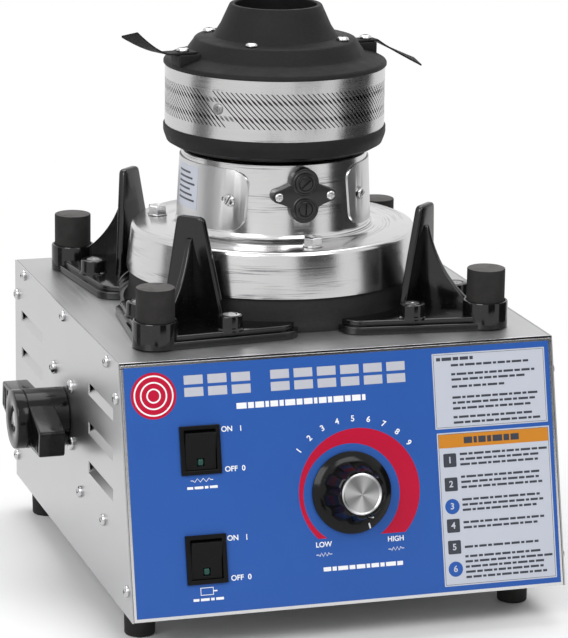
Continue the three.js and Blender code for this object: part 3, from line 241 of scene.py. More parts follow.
# A flat outline with a thickness and rounded edges, from low to high along Z
def plate(name, outlines, low, high, edge=0.0, edgeSteps=3):
    curve = bpy.data.curves.new(name, 'CURVE')
    curve.dimensions = '2D'
    curve.fill_mode = 'BOTH'
    curve.extrude = (high - low) / 2 - edge
    curve.bevel_depth = edge
    curve.bevel_resolution = edgeSteps
    curve.offset = -edge
    for outline in outlines:
        spline = curve.splines.new('POLY')
        spline.points.add(len(outline) - 1)
        for point, (x, y) in zip(spline.points, outline):
            point.co = (x, y, 0, 1)
        spline.use_cyclic_u = True
    piece = bpy.data.objects.new(name, curve)
    bpy.context.scene.collection.objects.link(piece)
    activate(piece)
    bpy.ops.object.convert(target='MESH')
    piece = bpy.context.object
    piece.location = (0, 0, (low + high) / 2)
    applyPlace(piece)
    return smoothed(cleaned(piece), 40)


# A copy of a solid's mesh with its loose faces merged and its edges rounded
def dressed(nodeName, name, edge=0.0, segments=2, degrees=30):
    piece = copied(nodes[nodeName], name)
    piece.parent = None
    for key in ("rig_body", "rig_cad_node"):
        if key in piece:
            del piece[key]
    activate(piece)
    bpy.ops.object.mode_set(mode='EDIT')
    bpy.ops.mesh.select_all(action='SELECT')
    bpy.ops.mesh.remove_doubles(threshold=2e-6)
    bpy.ops.mesh.dissolve_limited(angle_limit=math.radians(0.5))
    bpy.ops.object.mode_set(mode='OBJECT')
    if edge:
        rounded(piece, edge, segments, degrees)
    return levelled(smoothed(piece, degrees))


# Shader maths, written as sums on sockets
class Wire:
    def __init__(self, finish, socket):
        self.finish = finish
        self.socket = socket

    def maths(self, operation, *values):
        return self.finish.node("ShaderNodeMath", {"operation": operation}, dict(enumerate(values)))

    def __add__(self, other):
        return self.maths('ADD', self, other)

    def __radd__(self, other):
        return self.maths('ADD', other, self)

    def __sub__(self, other):
        return self.maths('SUBTRACT', self, other)

    def __rsub__(self, other):
        return self.maths('SUBTRACT', other, self)

    def __mul__(self, other):
        return self.maths('MULTIPLY', self, other)

    def __rmul__(self, other):
        return self.maths('MULTIPLY', other, self)

    def __truediv__(self, other):
        return self.maths('DIVIDE', self, other)

    def __pow__(self, other):
        return self.maths('POWER', self, other)

    def __gt__(self, other):
        return self.maths('GREATER_THAN', self, other)


# The nodes of a material, or of the world
class Finish:
    def __init__(self, name, slot=None, world=False):
        self.slot = slot
        self.material = (bpy.data.worlds if world else bpy.data.materials).new(name)
        self.material.use_nodes = True
        self.tree = self.material.node_tree
        self.tree.nodes.clear()
        self.output = self.tree.nodes.new("ShaderNodeOutputWorld" if world else "ShaderNodeOutputMaterial")
        self.place = self.node("ShaderNodeTexCoord", output="Generated" if world else "Object")

    def node(self, kind, settings=None, values=None, output=0):
        made = self.tree.nodes.new(kind)
        for key, value in (settings or {}).items():
            if key == "stops":
                elements = made.color_ramp.elements
                while len(elements) < len(value):
                    elements.new(0.5)
                for element, (position, colour) in zip(elements, value):
                    element.position = position
                    element.color = colour if isinstance(colour, tuple) else (colour, colour, colour, 1)
            else:
                setattr(made, key, value)
        for key, value in (values or {}).items():
            if isinstance(value, Wire):
                self.tree.links.new(value.socket, made.inputs[key])
            else:
                made.inputs[key].default_value = value
        return Wire(self, made.outputs[output])

    def axis(self, letter, vector=None):
        return self.node("ShaderNodeSeparateXYZ", values={0: vector or self.place}, output=letter)

    def combined(self, x, y=0.0, z=0.0):
        return self.node("ShaderNodeCombineXYZ", values={0: x, 1: y, 2: z})

    def stretched(self, scale):
        return self.node("ShaderNodeMapping", values={"Vector": self.place, "Scale": scale})

    def noise(self, scale=1.0, detail=2.0, roughness=0.5, vector=None):
        return self.node("ShaderNodeTexNoise", values={
            "Vector": vector or self.place, "Scale": scale, "Detail": detail, "Roughness": roughness})

    def ramp(self, factor, *stops):
        return self.node("ShaderNodeValToRGB", {"stops": stops}, {"Fac": factor})

    def blend(self, factor, first, second):
        return self.node("ShaderNodeMix", {"data_type": 'RGBA'}, {0: factor, 6: first, 7: second}, output=2)

    def bump(self, height, distance, strength):
        return self.node("ShaderNodeBump", values={"Height": height, "Distance": distance, "Strength": strength})

    # How far the surface faces up, from -1 to 1
    def facingUp(self):
        return self.axis("Z", self.node("ShaderNodeNewGeometry", output="Normal"))

    # 1 where the camera sees the surface by itself, in a mirror or through glass
    def seen(self):
        camera, glossy, through = [self.node("ShaderNodeLightPath", output="Is " + kind + " Ray")
                                   for kind in ("Camera", "Glossy", "Transmission")]
        return camera.maths('MAXIMUM', camera.maths('MAXIMUM', camera, glossy), through)

    def closed(self, shader):
        self.tree.links.new(shader.socket, self.output.inputs["Surface"])
        return self

    def surface(self, colour, roughness, **others):
        values = {key.replace("_", " "): value for key, value in others.items()}
        return self.closed(self.node("ShaderNodeBsdfPrincipled", values={
            "Base Color": colour, "Roughness": roughness, **values}, output="BSDF"))


def grey(level):
    return (level, level, level * 1.01, 1)


# Brushed stainless sheet. The grain runs along one axis; soft blotches are handling marks.
def brushedSheet(name, grain, light, dark, roughness):
    finish = Finish(name, "stainless")
    fine = finish.noise(1.0, 3.0, 0.6, finish.stretched(grain))
    blotch = finish.noise(11.0, 3.0)
    return finish.surface(
        finish.blend(fine * 0.7 + blotch * 0.3, grey(dark), grey(light)),
        roughness + (fine - 0.5) * 0.16 + (blotch - 0.5) * 0.1,
        Metallic=1.0, Normal=finish.bump(fine, 0.00002, 0.6))


# Metal turned on a lathe about the spin axis: fine rings that break up now and then.
# Within this radius the metal is painted black: painted shade on the band's inner face and in its slots.
def turnedMetal(name, light, dark, roughness, ringScale=1100.0, depth=0.00004, patches=(0.50, 0.66), shadeRadius=0.0):
    finish = Finish(name, "turned")
    x, y, z = finish.axis("X"), finish.axis("Y"), finish.axis("Z")
    radius = (x * x + y * y) ** 0.5
    streak = finish.noise(1.0, 3.0, 0.7, finish.combined(radius * ringScale, z * ringScale, (x - y) * 14.0))
    broad = finish.combined(radius * 60.0 + x * 12.0, z * 75.0 + y * 12.0, (x + y) * 9.0)
    patch = finish.ramp(finish.noise(vector=broad), (patches[0], 0.0), (patches[1], 1.0))
    thin = finish.ramp(streak, (0.40, 1.0), (0.50, 0.0))
    cloud = finish.noise(30.0)
    pale = finish.blend(streak, (light * 0.88, light * 0.88, light * 0.90, 1),
                        (light, light * 0.985, light * 0.97, 1))
    colour = finish.blend(thin * patch, pale, (dark, dark * 1.02, dark * 1.12, 1))
    # Painted shade: black within the radius
    if shadeRadius:
        colour = finish.blend(radius > shadeRadius, (0.012, 0.012, 0.013, 1), colour)
    return finish.surface(
        colour, roughness + (cloud - 0.5) * 0.12 + (streak - 0.5) * 0.1,
        Metallic=1.0, Normal=finish.bump(streak, depth, 0.7))


# A face spun about a tilted axis: the light that its rings throw back in sectors is painted into the colour, a
# painted highlight
def spunFace(name, middle, slope, light, dark, roughness):
    finish = Finish(name, "turned")
    across = finish.axis("X") - middle[0]
    up = (finish.axis("Z") - middle[1]) / slope
    turn = up.maths('ARCTAN2', up, across)
    radius = (across * across + up * up) ** 0.5
    # Painted highlight: sectors made lighter and darker by angle round the axis
    sectorSheen = turn.maths('COSINE', turn * 4.0 + 1.1) * 0.5 + 0.5
    spokes = finish.noise(1.0, 3.0, 0.6, finish.combined(turn * 3.0))
    rings = finish.noise(1.0, 2.0, 0.6, finish.combined(radius * 2600.0))
    shade = finish.ramp(sectorSheen * 0.6 + spokes * 0.4, (0.25, 0.0), (0.8, 1.0))
    return finish.surface(
        finish.blend(shade, grey(dark), grey(light)), roughness + (rings - 0.5) * 0.16,
        Metallic=1.0, Normal=finish.bump(rings, 0.00002, 0.5))


def castCoat(name, tone=1.0):
    finish = Finish(name, "cast_black")
    grain = finish.noise(1500.0, 2.0, 0.6)
    patch = finish.noise(60.0, 3.0, 0.6)
    speck = finish.noise(420.0, 1.0)
    # Painted shade: faces that point up are painted darker
    upFacingShade = finish.ramp(finish.facingUp(), (0.25, 0.0), (0.9, 1.0))
    colour = finish.blend(patch * 0.6 + speck * 0.4, grey(0.008 * tone), grey(0.022 * tone))
    return finish.surface(
        finish.blend(upFacingShade, colour, finish.blend(speck, grey(0.002), grey(0.008))), 0.56 + (patch - 0.5) * 0.3,
        Specular_IOR_Level=0.13, Normal=finish.bump(grain * 0.7 + speck * 0.5, 0.00025, 0.8))


def mouldedGloss(name, roughness, tone, shine):
    finish = Finish(name, "moulded_black")
    scuff = finish.noise(1.0, 2.0, 0.6, finish.stretched((500, 160, 160)))
    dust = finish.ramp(finish.noise(900.0, 1.0), (0.70, 0.0), (0.78, 1.0))
    return finish.surface(
        finish.blend(dust * 0.3, (tone, tone, tone * 1.05, 1), (0.05, 0.05, 0.05, 1)),
        roughness + (scuff - 0.4) * 0.12 + dust * 0.2,
        Specular_IOR_Level=shine, Normal=finish.bump(finish.noise(90.0), 0.0002, 0.25))


# Black rubber painted lighter where it faces up: painted top light, with some dust
def agedRubber(name):
    finish = Finish(name, "rubber")
    grain = finish.noise(800.0, 3.0, 0.6)
    patch = finish.noise(95.0, 3.0, 0.6)
    colour = finish.blend(patch, (0.012, 0.012, 0.012, 1), (0.034, 0.032, 0.031, 1))
    # Lighter tops: painted top light, with some dust
    dustAndTopLight = finish.ramp(finish.facingUp() * 0.75 + (patch - 0.5) * 0.5, (0.45, 0.0), (0.75, 1.0))
    return finish.surface(
        finish.blend(dustAndTopLight, colour, (0.105, 0.100, 0.098, 1)), 0.72 + (grain - 0.5) * 0.3,
        Specular_IOR_Level=0.16, Normal=finish.bump(grain, 0.0001, 0.6))


def platedMetal(name, light, dark, roughness):
    finish = Finish(name, "zinc")
    cloud = finish.noise(380.0, 2.0, 0.6)
    fine = finish.noise(2600.0, 1.0)
    return finish.surface(
        finish.blend(cloud, grey(dark), grey(light)), roughness + (fine - 0.5) * 0.16,
        Metallic=1.0, Normal=finish.bump(cloud, 0.00005, 0.4))


def printedFilm(name, colour, change=0.12):
    finish = Finish(name, "label")
    fine = finish.noise(1700.0, 2.0, 0.6)
    deeper = tuple(part * (1 - change) for part in colour[:3]) + (1,)
    return finish.surface(
        finish.blend(finish.noise(26.0) * 0.6 + fine * 0.4, deeper, colour), 0.34 + (fine - 0.5) * 0.1,
        Specular_IOR_Level=0.25, Normal=finish.bump(fine, 0.00002, 0.4))


def plainSolid(name, slot, light, dark, metallic, roughness, scale=300.0):
    finish = Finish(name, slot)
    grain = finish.noise(scale, 3.0, 0.6)
    return finish.surface(
        finish.blend(grain, dark, light), roughness + (grain - 0.5) * 0.2,
        Metallic=metallic, Normal=finish.bump(grain, 0.00006, 0.5))


def lampLens(name):
    finish = Finish(name, "lens")
    ribs = finish.node("ShaderNodeTexWave", {"wave_type": 'BANDS', "bands_direction": 'X'},
                       {"Vector": finish.place, "Scale": 330.0, "Distortion": 0.0})
    return finish.surface(
        finish.blend(ribs, (0.002, 0.020, 0.015, 1), (0.005, 0.085, 0.062, 1)), 0.12 + ribs * 0.1,
        Normal=finish.bump(ribs, 0.00015, 0.5))


finishes = {
    "sidePanel": brushedSheet("brushedSidePanel", (90, 5, 1500), 0.58, 0.50, 0.33),
    "deck": brushedSheet("brushedDeck", (1500, 6, 90), 0.50, 0.40, 0.40),
    "panelRim": brushedSheet("brushedPanelRim", (6, 1300, 1300), 0.80, 0.62, 0.20),
    "coverPlate": brushedSheet("satinCoverPlate", (900, 900, 60), 0.64, 0.56, 0.33),
    "turned": turnedMetal("turnedHousing", 0.66, 0.12, 0.20),
    "band": turnedMetal("bandSheet", 0.62, 0.18, 0.25, 700.0, 0.00003, (0.56, 0.72), 0.08975),
    "knobCap": spunFace("spunAluminiumPaintedSheen", (0.0031, 0.0916), 0.972, 0.72, 0.32, 0.30),
    "cast": castCoat("texturedBlackCoat"),
    "collar": castCoat("texturedCollarCoat", 1.6),
    "gloss": mouldedGloss("glossyBlackMoulding", 0.12, 0.004, 0.5),
    "satin": mouldedGloss("satinBlackMoulding", 0.32, 0.007, 0.5),
    "switch": mouldedGloss("switchPlastic", 0.30, 0.006, 0.12),
    "dial": mouldedGloss("dialPlastic", 0.14, 0.004, 0.20),
    "wing": mouldedGloss("handKnobPlastic", 0.13, 0.004, 0.24),
    "rubber": agedRubber("charcoalRubber"),
    "plated": platedMetal("brightPlating", 0.66, 0.46, 0.24),
    "label": printedFilm("blueFilm", (0.024, 0.100, 0.385, 1)),
    "white": printedFilm("whiteInk", (0.86, 0.87, 0.88, 1), 0.05),
    "crimson": printedFilm("crimsonInk", (0.50, 0.004, 0.036, 1)),
    "paper": printedFilm("greyWhiteFilm", (0.52, 0.55, 0.62, 1), 0.06),
    "silver": printedFilm("silverInk", (0.50, 0.51, 0.56, 1), 0.06),
    "amber": printedFilm("amberInk", (0.60, 0.23, 0.022, 1)),
    "ruling": printedFilm("darkInk", (0.05, 0.055, 0.07, 1)),
    "lens": lampLens("greenLamp"),
    "steel": plainSolid("dullSteel", "dark_steel", grey(0.36), grey(0.22), 1.0, 0.42),
    "bronze": plainSolid("sinteredBronze", "bronze", (0.55, 0.36, 0.16, 1), (0.38, 0.24, 0.1, 1), 1.0, 0.4),
    "carbon": plainSolid("pressedCarbon", "carbon", grey(0.05), grey(0.02), 0.0, 0.6, 900.0),
}


def finishPiece(piece, finishName, *replaced, body="cabinet"):
    finish = finishes[finishName]
    piece.data.materials.clear()
    piece.data.materials.append(finish.material)
    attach(piece, body)
    if replaced:
        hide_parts(*replaced)
    return piece


def finishNode(nodeName, finishName):
    node = nodes[nodeName]
    if not node.material_slots:
        node.data.materials.append(finishes[finishName].material)
    for place in node.material_slots:
        place.material = finishes[finishName].material


# Places that several pieces share
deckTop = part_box("top_cover")[1].z
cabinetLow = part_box("left_side_panel")[0]
sideOut = -cabinetLow.x
frontBottom = cabinetLow.y
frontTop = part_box("top_cover")[0].y
panelLean = math.atan2(frontTop - frontBottom, deckTop)
labelOut = 0.0008      # the label's face above the panel's own face
corners = ("front_left", "front_right", "rear_left", "rear_right")


def axes(x, y, z, place=(0, 0, 0)):
    return Matrix([*zip(x, y, z, place), (0, 0, 0, 1)])


# The panel's own frame: x across, y up the slope, z out of the panel
def onPanel(across=0.0, up=0.0, out=0.0):
    upward = Vector((0, math.sin(panelLean), math.cos(panelLean)))
    outward = Vector((0, -math.cos(panelLean), math.sin(panelLean)))
    return axes((1, 0, 0), upward, outward, Vector((across, frontBottom, 0)) + upward * up + outward * out)


# A frame that faces the front: x across, y up, z toward the front
def facingFront(x=0, y=0, z=0):
    return axes((1, 0, 0), (0, 0, 1), (0, -1, 0), (x, y, z))


# A frame that faces left or right: its z axis points outwards
def facingSide(side, x=0, y=0, z=0):
    return axes((0, side, 0), (0, 0, 1), (side, 0, 0), (x, y, z))


def moved(x=0.0, y=0.0, z=0.0):
    return Matrix.Translation((x, y, z))


def turnedBy(degrees, axis='Z'):
    return Matrix.Rotation(math.radians(degrees), 4, axis)


# A place round the spin axis, the angle in degrees from the front toward +X
def around(radius, degrees, z=0.0):
    return turnedBy(degrees - 90) @ moved(radius, 0, z)


def capitals(words):
    return words.title().replace("_", "")


# Small screws: radius and height of each kind, and the head's shape in shares of them
screwForm = {
    "side": (0.0048, 0.0035), "control": (0.0058, 0.0042), "cover": (0.0050, 0.0028), "brush": (0.0037, 0.0020),
    "head": (0.0052, 0.0032), "steps": 28,
    "profile": [(0.96, 0), (1, 0.12), (1, 0.36), (0.93, 0.62), (0.76, 0.83), (0.5, 0.95), (0.2, 1)],
    "recessReach": 0.52, "recessWidth": 0.12, "recessDepth": 0.55, "slotLonger": 2.4, "slotWider": 1.5,
}


def panHead(name, kind, cross=True):
    form = screwForm
    radius, height = form[kind]
    head = turned(name, [(radius * across, height * up) for across, up in form["profile"]], form["steps"])
    reach, width = radius * form["recessReach"], radius * form["recessWidth"]
    bottom = height - height * form["recessDepth"]
    cuts = [(reach, width), (width, reach)]
    if not cross:
        cuts = [(reach * form["slotLonger"], width * form["slotWider"])]
    for across, along in cuts:
        combine(head, box("recess", (-across, -along, bottom), (across, along, height * 2)))
    return smoothed(head, 40)


def scattered(name, kind, places, body="cabinet", cross=True):
    pattern = panHead("screwPattern", kind, cross)
    screws = [copied(pattern, name + str(i), place) for i, place in enumerate(places)]
    drop(pattern)
    return finishPiece(joined(name, screws), "plated", body=body)


sheetForm = {
    "edge": 0.00035,
    "finishes": {"top_cover": "deck", "rear_panel": "sidePanel", "base_pan": "steel", "left_side_panel": "sidePanel",
                 "right_side_panel": "sidePanel", "control_panel": "panelRim"},
}


def makeSheets():
    for nodeName, finishName in sheetForm["finishes"].items():
        finishPiece(dressed(nodeName, nodeName + "Form", sheetForm["edge"]), finishName, nodeName)


# Places are (y, z) on the side panels and (x, z) on the rear one. A group ends with its first turn and the step.
sideScrews = {
    "edge": [(0.1429, 0.1886), (-0.0010, 0.1880), (-0.1466, 0.1874), (0.1730, 0.020), (0.1695, 0.1658),
             (-0.2120, 0.0215), (-0.1773, 0.1657)],
    "control": [(-0.0302, 0.1362), (0.0318, 0.1364), (-0.0312, 0.0886), (0.0318, 0.0886)],
    "bracing": [(-0.060, 0.056), (-0.137, 0.056)],
    "rear": [(-0.166, 0.022), (-0.166, 0.100), (-0.166, 0.176), (0.166, 0.022), (0.166, 0.100), (0.166, 0.176)],
    "rearFace": 0.1801, "rearStep": 53,
    "groups": [("leftPanelScrews", "side", -1, "edge", 0, 37), ("rightPanelScrews", "side", 1, "edge", 0, 37),
               ("sideControlScrews", "control", -1, "control", 25, 31),
               ("bracingScrews", "side", -1, "bracing", 0, 70)],
}


def makeSideScrews():
    form = sideScrews
    for name, kind, side, group, start, step in form["groups"]:
        scattered(name, kind, [facingSide(side, side * sideOut, y, z) @ turnedBy(start + step * i)
                               for i, (y, z) in enumerate(form[group])])
    scattered("rearPanelScrews", "side", [
        turnedBy(180) @ facingFront(x, -form["rearFace"], z) @ turnedBy(form["rearStep"] * i)
        for i, (x, z) in enumerate(form["rear"])])


rubberForm = {
    "foot": {"recess": 0.0055, "steps": 48, "profile": [
        ("recess", "low", (0, 18), (0, 0.4), (0.4, 0)), ("radius", "low", (-2.2, 0), (-1, 0.6), (-0.6, 1.6)),
        ("radius", "high", (0, -0.5), (-0.4, 0))]},
    "bumper": {"steps": 56, "profile": [
        ("radius", "low", (-0.5, 0), (0, 0.5)), ("radius", "high", (0, -0.8), (-0.24, -0.24), (-0.8, 0))]},
}


def makeFeetAndBumpers():
    for corner in corners:
        for kind, form in rubberForm.items():
            low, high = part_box(kind + "_" + corner)
            middle = (low + high) / 2
            marks = {**form, "radius": (high.x - low.x) / 2, "low": low.z, "high": high.z}
            piece = lathed("rubber" + capitals(kind + "_" + corner), form["profile"], marks, form["steps"])
            finishPiece(placed(piece, moved(middle.x, middle.y)), "rubber", kind + "_" + corner)


# One bracket, drawn over the deck's +X +Y corner. The fin stands across the diagonal and the gusset along it.
bracketForm = {
    "end": 0.017, "edgeAtEnd": 0.1408, "edgeAtCorner": 0.1522, "corner": 0.009, "swell": 0.0006, "soft": 0.006,
    "innerRadius": 0.127, "flange": 0.006, "flangeEdge": 0.0008, "plate": 0.0105, "plateEdge": 0.0011,
    "ledge": 0.003, "overlap": 0.002, "bossHeight": 0.022, "cornerPlace": 0.137, "cornerRadius": 0.018,
    "seatRadius": 0.0160, "roundAlong": 0.076, "roundOut": 0.134, "roundRadius": 0.0104, "insertRadius": 0.0056,
    "finPlace": 0.128, "finThickness": 0.0065, "finHeight": 0.094, "finLeanOut": 0.007, "finTop": 0.0116,
    "finBase": 0.030, "finCorner": 0.0042, "finEdge": 0.0021, "gussetThickness": 0.005, "gussetRise": 0.076,
    "gussetFoot": 0.004, "gussetBend": (0.22, 0.36), "gussetEdge": 0.0013, "sunk": 0.0015,
    "cornerBoss": [
        ("cornerRadius", "zero", (0, 1)), ("cornerRadius", "bossHeight", (0, -1.2), (-0.4, -0.3), (-1.1, 0)),
        ("seatRadius", "bossHeight", (0.3, 0), (0, -0.4), (0, -8))],
    "roundBoss": [
        ("roundRadius", "plate", (1.664, -1), (1.456, 0.3), (0.312, 1.4), (0, 2.8)),
        ("roundRadius", "bossHeight", (0, -1.6), (-0.416, -0.5), (-1.248, 0)),
        ("insertRadius", "bossHeight", (0.6, 0), (0.4, -1.2))],
    "insert": [
        ("insertRadius", "bossHeight", (0, -2), (0, -0.4), (-0.4, -0.1)),
        ("zero", "bossHeight", (1.8, -0.1), (1.4, -0.8))],
    "turns": {"rear_right": 0, "rear_left": 90, "front_left": 180, "front_right": 270},
}


def bracketOutline(inset):
    form = bracketForm
    atEnd, atCorner = form["edgeAtEnd"] - inset, form["edgeAtCorner"] - inset
    end, corner, place = form["end"] + inset, form["corner"], form["cornerPlace"]
    swollen = atEnd + form["swell"]
    turn = math.degrees(math.asin(end / form["innerRadius"]))
    outer = [(atEnd - corner, end), (swollen, end + corner), (atCorner, place),
             (place, atCorner), (end + corner, swollen), (end, atEnd - corner)]
    # Only half of the first and of the last soft corner is kept, because the inner arc starts there
    return softCorners(outer, form["soft"], 4)[3:-3] + arc(0, 0, form["innerRadius"], 90 - turn, turn, 24)


def makeBrackets():
    form = bracketForm
    place, boss, overlap = form["cornerPlace"], form["bossHeight"], form["overlap"]
    rounds = [(form["roundAlong"], form["roundOut"]), (form["roundOut"], form["roundAlong"])]
    flange = plate("bracketFlange", [bracketOutline(0)], 0, form["flange"], form["flangeEdge"])
    upper = plate("bracketPlate", [bracketOutline(form["ledge"])], form["flange"] - overlap, form["plate"],
                  form["plateEdge"])
    bosses = [placed(lathed("cornerBoss", form["cornerBoss"], form, 56), moved(place, place))]
    bosses += [placed(lathed("roundBoss", form["roundBoss"], form, 40), moved(x, y)) for x, y in rounds]

    diagonal = turnedBy(45)
    half, top, height = form["finBase"], form["finTop"], form["finHeight"]
    outline = softCorners([(-half, overlap), (half, overlap), (top, height), (-top, height)], form["finCorner"])
    fin = plate("bracketFin", [outline], 0, form["finThickness"], form["finEdge"], 4)
    lean = form["finLeanOut"] / height
    fin.data.transform(diagonal @ axes((0, 1, 0), (lean, 0, 1), (1, 0, 0), (form["finPlace"], 0, 0)))

    rise, foot, half = form["gussetRise"], form["gussetFoot"], form["gussetThickness"] / 2
    start = form["finPlace"] + form["finThickness"] / 2
    bossSide = place * math.sqrt(2) - form["cornerRadius"] + overlap
    fromFin = form["finPlace"] + form["finThickness"] + overlap + lean * rise
    along, up = form["gussetBend"]
    bend = (fromFin + (bossSide - fromFin) * along, boss + (rise - boss) * up)
    slope = curved((bossSide, boss - form["sunk"]), bend, (fromFin, rise), [k / 12 for k in range(13)])
    outline = [(start, foot), (bossSide, foot), *slope, (start + lean * rise, rise + overlap)]
    web = placed(plate("bracketWeb", [outline], -half, half, form["gussetEdge"]), diagonal @ facingFront())

    whole = joined("bracketPattern", [flange, upper, *bosses, fin, web])
    for corner, turn in form["turns"].items():
        place = moved(0, 0, deckTop) @ turnedBy(turn)
        finishPiece(copied(whole, "cornerBracket" + capitals(corner), place), "gloss", "bracket_" + corner)
        inserts = [placed(lathed("bossInsert", form["insert"], form, 32), place @ moved(x, y)) for x, y in rounds]
        finishPiece(joined("bossInserts" + capitals(corner), inserts), "steel")
    drop(whole)


collarForm = {
    "radius": 0.1185, "ledgeRadius": 0.113, "ledgeDepth": 0.008, "bore": 0.090, "flareShares": (0.35, 0.66),
    "profile": [
        ("bore", "low"), ("outer", "low", (-0.6, 0), (0, 0.6)), ("flareFoot", "low", (0, 2.4)),
        ("flareTop", "low", (0, 4.8)), ("radius", "low", (1, 8), (0.2, 14)),
        ("radius", "top", (0, -1.2), (-0.4, -0.3), (-1.2, 0)), ("ledgeRadius", "top"), ("ledgeRadius", "ledge"),
        ("bore", "ledge")],
}
housingForm = {
    "bore": 0.070, "hub": 0.020, "hubBore": 0.0104, "web": 0.252, "webBottom": 0.246, "hubTop": 0.264,
    "shoulderRadius": 0.121, "shoulderTopRadius": 0.1174, "neckBase": 0.0788, "neckTop": 0.0762,
    "shoulder": 0.258, "fillet": 0.0065, "steps": 144,
    "windowHalf": 0.048, "windowLow": 0.270, "windowHigh": 0.310, "windowInner": 0.060, "windowOuter": 0.131,
    "brushHole": 0.0065, "brushHoleFrom": 0.060, "brushHoleTo": 0.090,
    "profile": [
        ("shoulderRadius", "skirt", (-0.6, 0), (0, 0.6), (-0.2, 4)),
        ("shoulderTopRadius", "shoulder", (0, -4), (-0.5, -2.2), (-1.7, -0.8), (-3.8, 0)),
        ("neckBase", "shoulder", (8.125, 0), (5.2, 0.39), (2.73, 1.56), (0.91, 3.575), (0, 6.5)),
        ("neckTop", "top", (0, -0.5), (-0.5, 0)), ("bore", "top", (0.5, 0), (0, -0.5)), ("bore", "web"),
        ("hub", "web"), ("hub", "hubTop"), ("hubBore", "hubTop"), ("hubBore", "webBottom"),
        ("shoulderTopRadius", "webBottom", (-10.5, 0)), ("shoulderRadius", "skirt", (-6.5, 0))],
}


def neckRadius(z):
    form = housingForm
    start = form["shoulder"] + form["fillet"]
    share = (z - start) / (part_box("housing_neck")[1].z - start)
    return form["neckBase"] + (form["neckTop"] - form["neckBase"]) * share


def makeCollar():
    form = collarForm
    low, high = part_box("collar")
    foot, top = [high.x - (high.x - form["radius"]) * share for share in form["flareShares"]]
    marks = {**form, "low": low.z, "top": high.z, "ledge": high.z - form["ledgeDepth"], "outer": high.x,
             "flareFoot": foot, "flareTop": top}
    finishPiece(lathed("collarRing", form["profile"], marks, housingForm["steps"], ring=True), "collar", "collar")


def makeHousing():
    form = housingForm
    marks = {**form, "skirt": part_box("brush_housing")[0].z, "top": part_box("housing_neck")[1].z}
    piece = lathed("brushHousingCasting", form["profile"], marks, form["steps"], ring=True)
    inner, outer, half = form["windowInner"], form["windowOuter"], form["windowHalf"]
    for near, far in ((-outer, -inner), (inner, outer)):
        combine(piece, box("window", (near, -half, form["windowLow"]), (far, half, form["windowHigh"])))
    low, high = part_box("brush_plate")
    for side in (-1, 1):
        hole = cylinder("brushHole", form["brushHole"], form["brushHoleFrom"], form["brushHoleTo"], 24)
        combine(piece, placed(hole, facingFront(0, 0, (low.z + high.z) / 2 + side * brushForm["half"])))
    finishPiece(smoothed(piece, 30), "turned", "brush_housing", "housing_neck")


boltForm = {
    "circle": 0.098, "radius": 0.0082, "height": 0.008, "turn": 2, "faceTurn": 12, "gap": 0.0003, "edge": 0.00025,
    "shank": 0.004, "shankLow": 0.198, "angles": {"front": 0, "right": 120, "left": -120},
    "head": [
        ("radius", "low", (-0.574, 0.6), (0, 1)),
        ("radius", "high", (0, -1), (-0.82, -0.3), (-2.296, 0), (-4.51, 0), (-5.084, -0.4))],
    "washer": [("radius", "low", (-0.164, 0), (0, 0.2), (0, 0.9), (-0.328, 1.2))],
}


def makeHousingBolts():
    form = boltForm
    low = housingForm["shoulder"] + form["gap"]
    marks = {**form, "low": low, "high": low + form["height"]}
    for label, degrees in form["angles"].items():
        head = lathed("boltHead", form["head"], marks, 6)
        washer = lathed("boltWasher", form["washer"], marks, 40)
        shank = cylinder("boltShank", form["shank"], form["shankLow"], low + 0.001, 24)
        piece = joined("housingBolt" + label.title(), [head, washer, shank])
        smoothed(rounded(piece, form["edge"], 2, 35), 35)
        placed(piece, around(form["circle"], degrees + form["turn"]) @ turnedBy(form["faceTurn"] + degrees))
        finishPiece(piece, "plated", "housing_bolt_" + label)


# A sheet wrapped on the neck: gap and wall are counted from the neck's own face
def wrapped(name, low, high, gap, wall, steps):
    return turned(name, [(neckRadius(low) + gap, low), (neckRadius(low) + gap + wall, low),
                         (neckRadius(high) + gap + wall, high), (neckRadius(high) + gap, high)], steps, ring=True)


plateLabel = {
    "from": -185.0, "to": -158.5, "low": 0.2765, "high": 0.3115, "rows": 6, "film": 0.00012, "barHeight": 0.0016,
    "firstBar": 0.006, "border": 0.008, "sideBorder": 3, "shorter": 2.5,
}


# A small plain label wrapped on the left cover plate, with rows of grey bars
def makePlateLabel(offset):
    label = plateLabel
    film = label["film"]

    def patch(name, start, end, low, high, layer):
        shell = wrapped(name, low, high, offset + film * layer, film, 240)
        half = math.tan(math.radians((end - start) / 2)) * 0.2
        wedge = plate("labelTrim", [[(0, 0), (0.2, -half), (0.2, half)]], 0.2, 0.4)
        return combine(shell, placed(wedge, turnedBy((start + end) / 2)), 'INTERSECT')

    finishPiece(patch("plateLabel", label["from"], label["to"], label["low"], label["high"], 0), "paper")
    bars = []
    pitch = (label["high"] - label["low"] - label["border"]) / label["rows"]
    for row in range(label["rows"]):
        low = label["low"] + label["firstBar"] + row * pitch
        end = label["to"] - label["sideBorder"] - label["shorter"] * (row % 3)
        bars.append(patch("labelBar", label["from"] + label["sideBorder"], end, low, low + label["barHeight"], 1))
    finishPiece(joined("plateLabelPrint", bars), "ruling")


# Slots are given by their angle from the front, with how far the screw sits off the slot's middle
coverForm = {
    "low": 0.265, "high": 0.315, "wall": 0.0010, "gap": 0.0003, "halfAngle": 55.5, "corner": 0.012, "edge": 0.00025,
    "slotHalf": (0.0055, 0.0023), "slotCorner": 0.00299, "slots": {45: 0.0022, 135: -0.0022},
    "sides": {"left": (-1, 62), "right": (1, 20)},
}


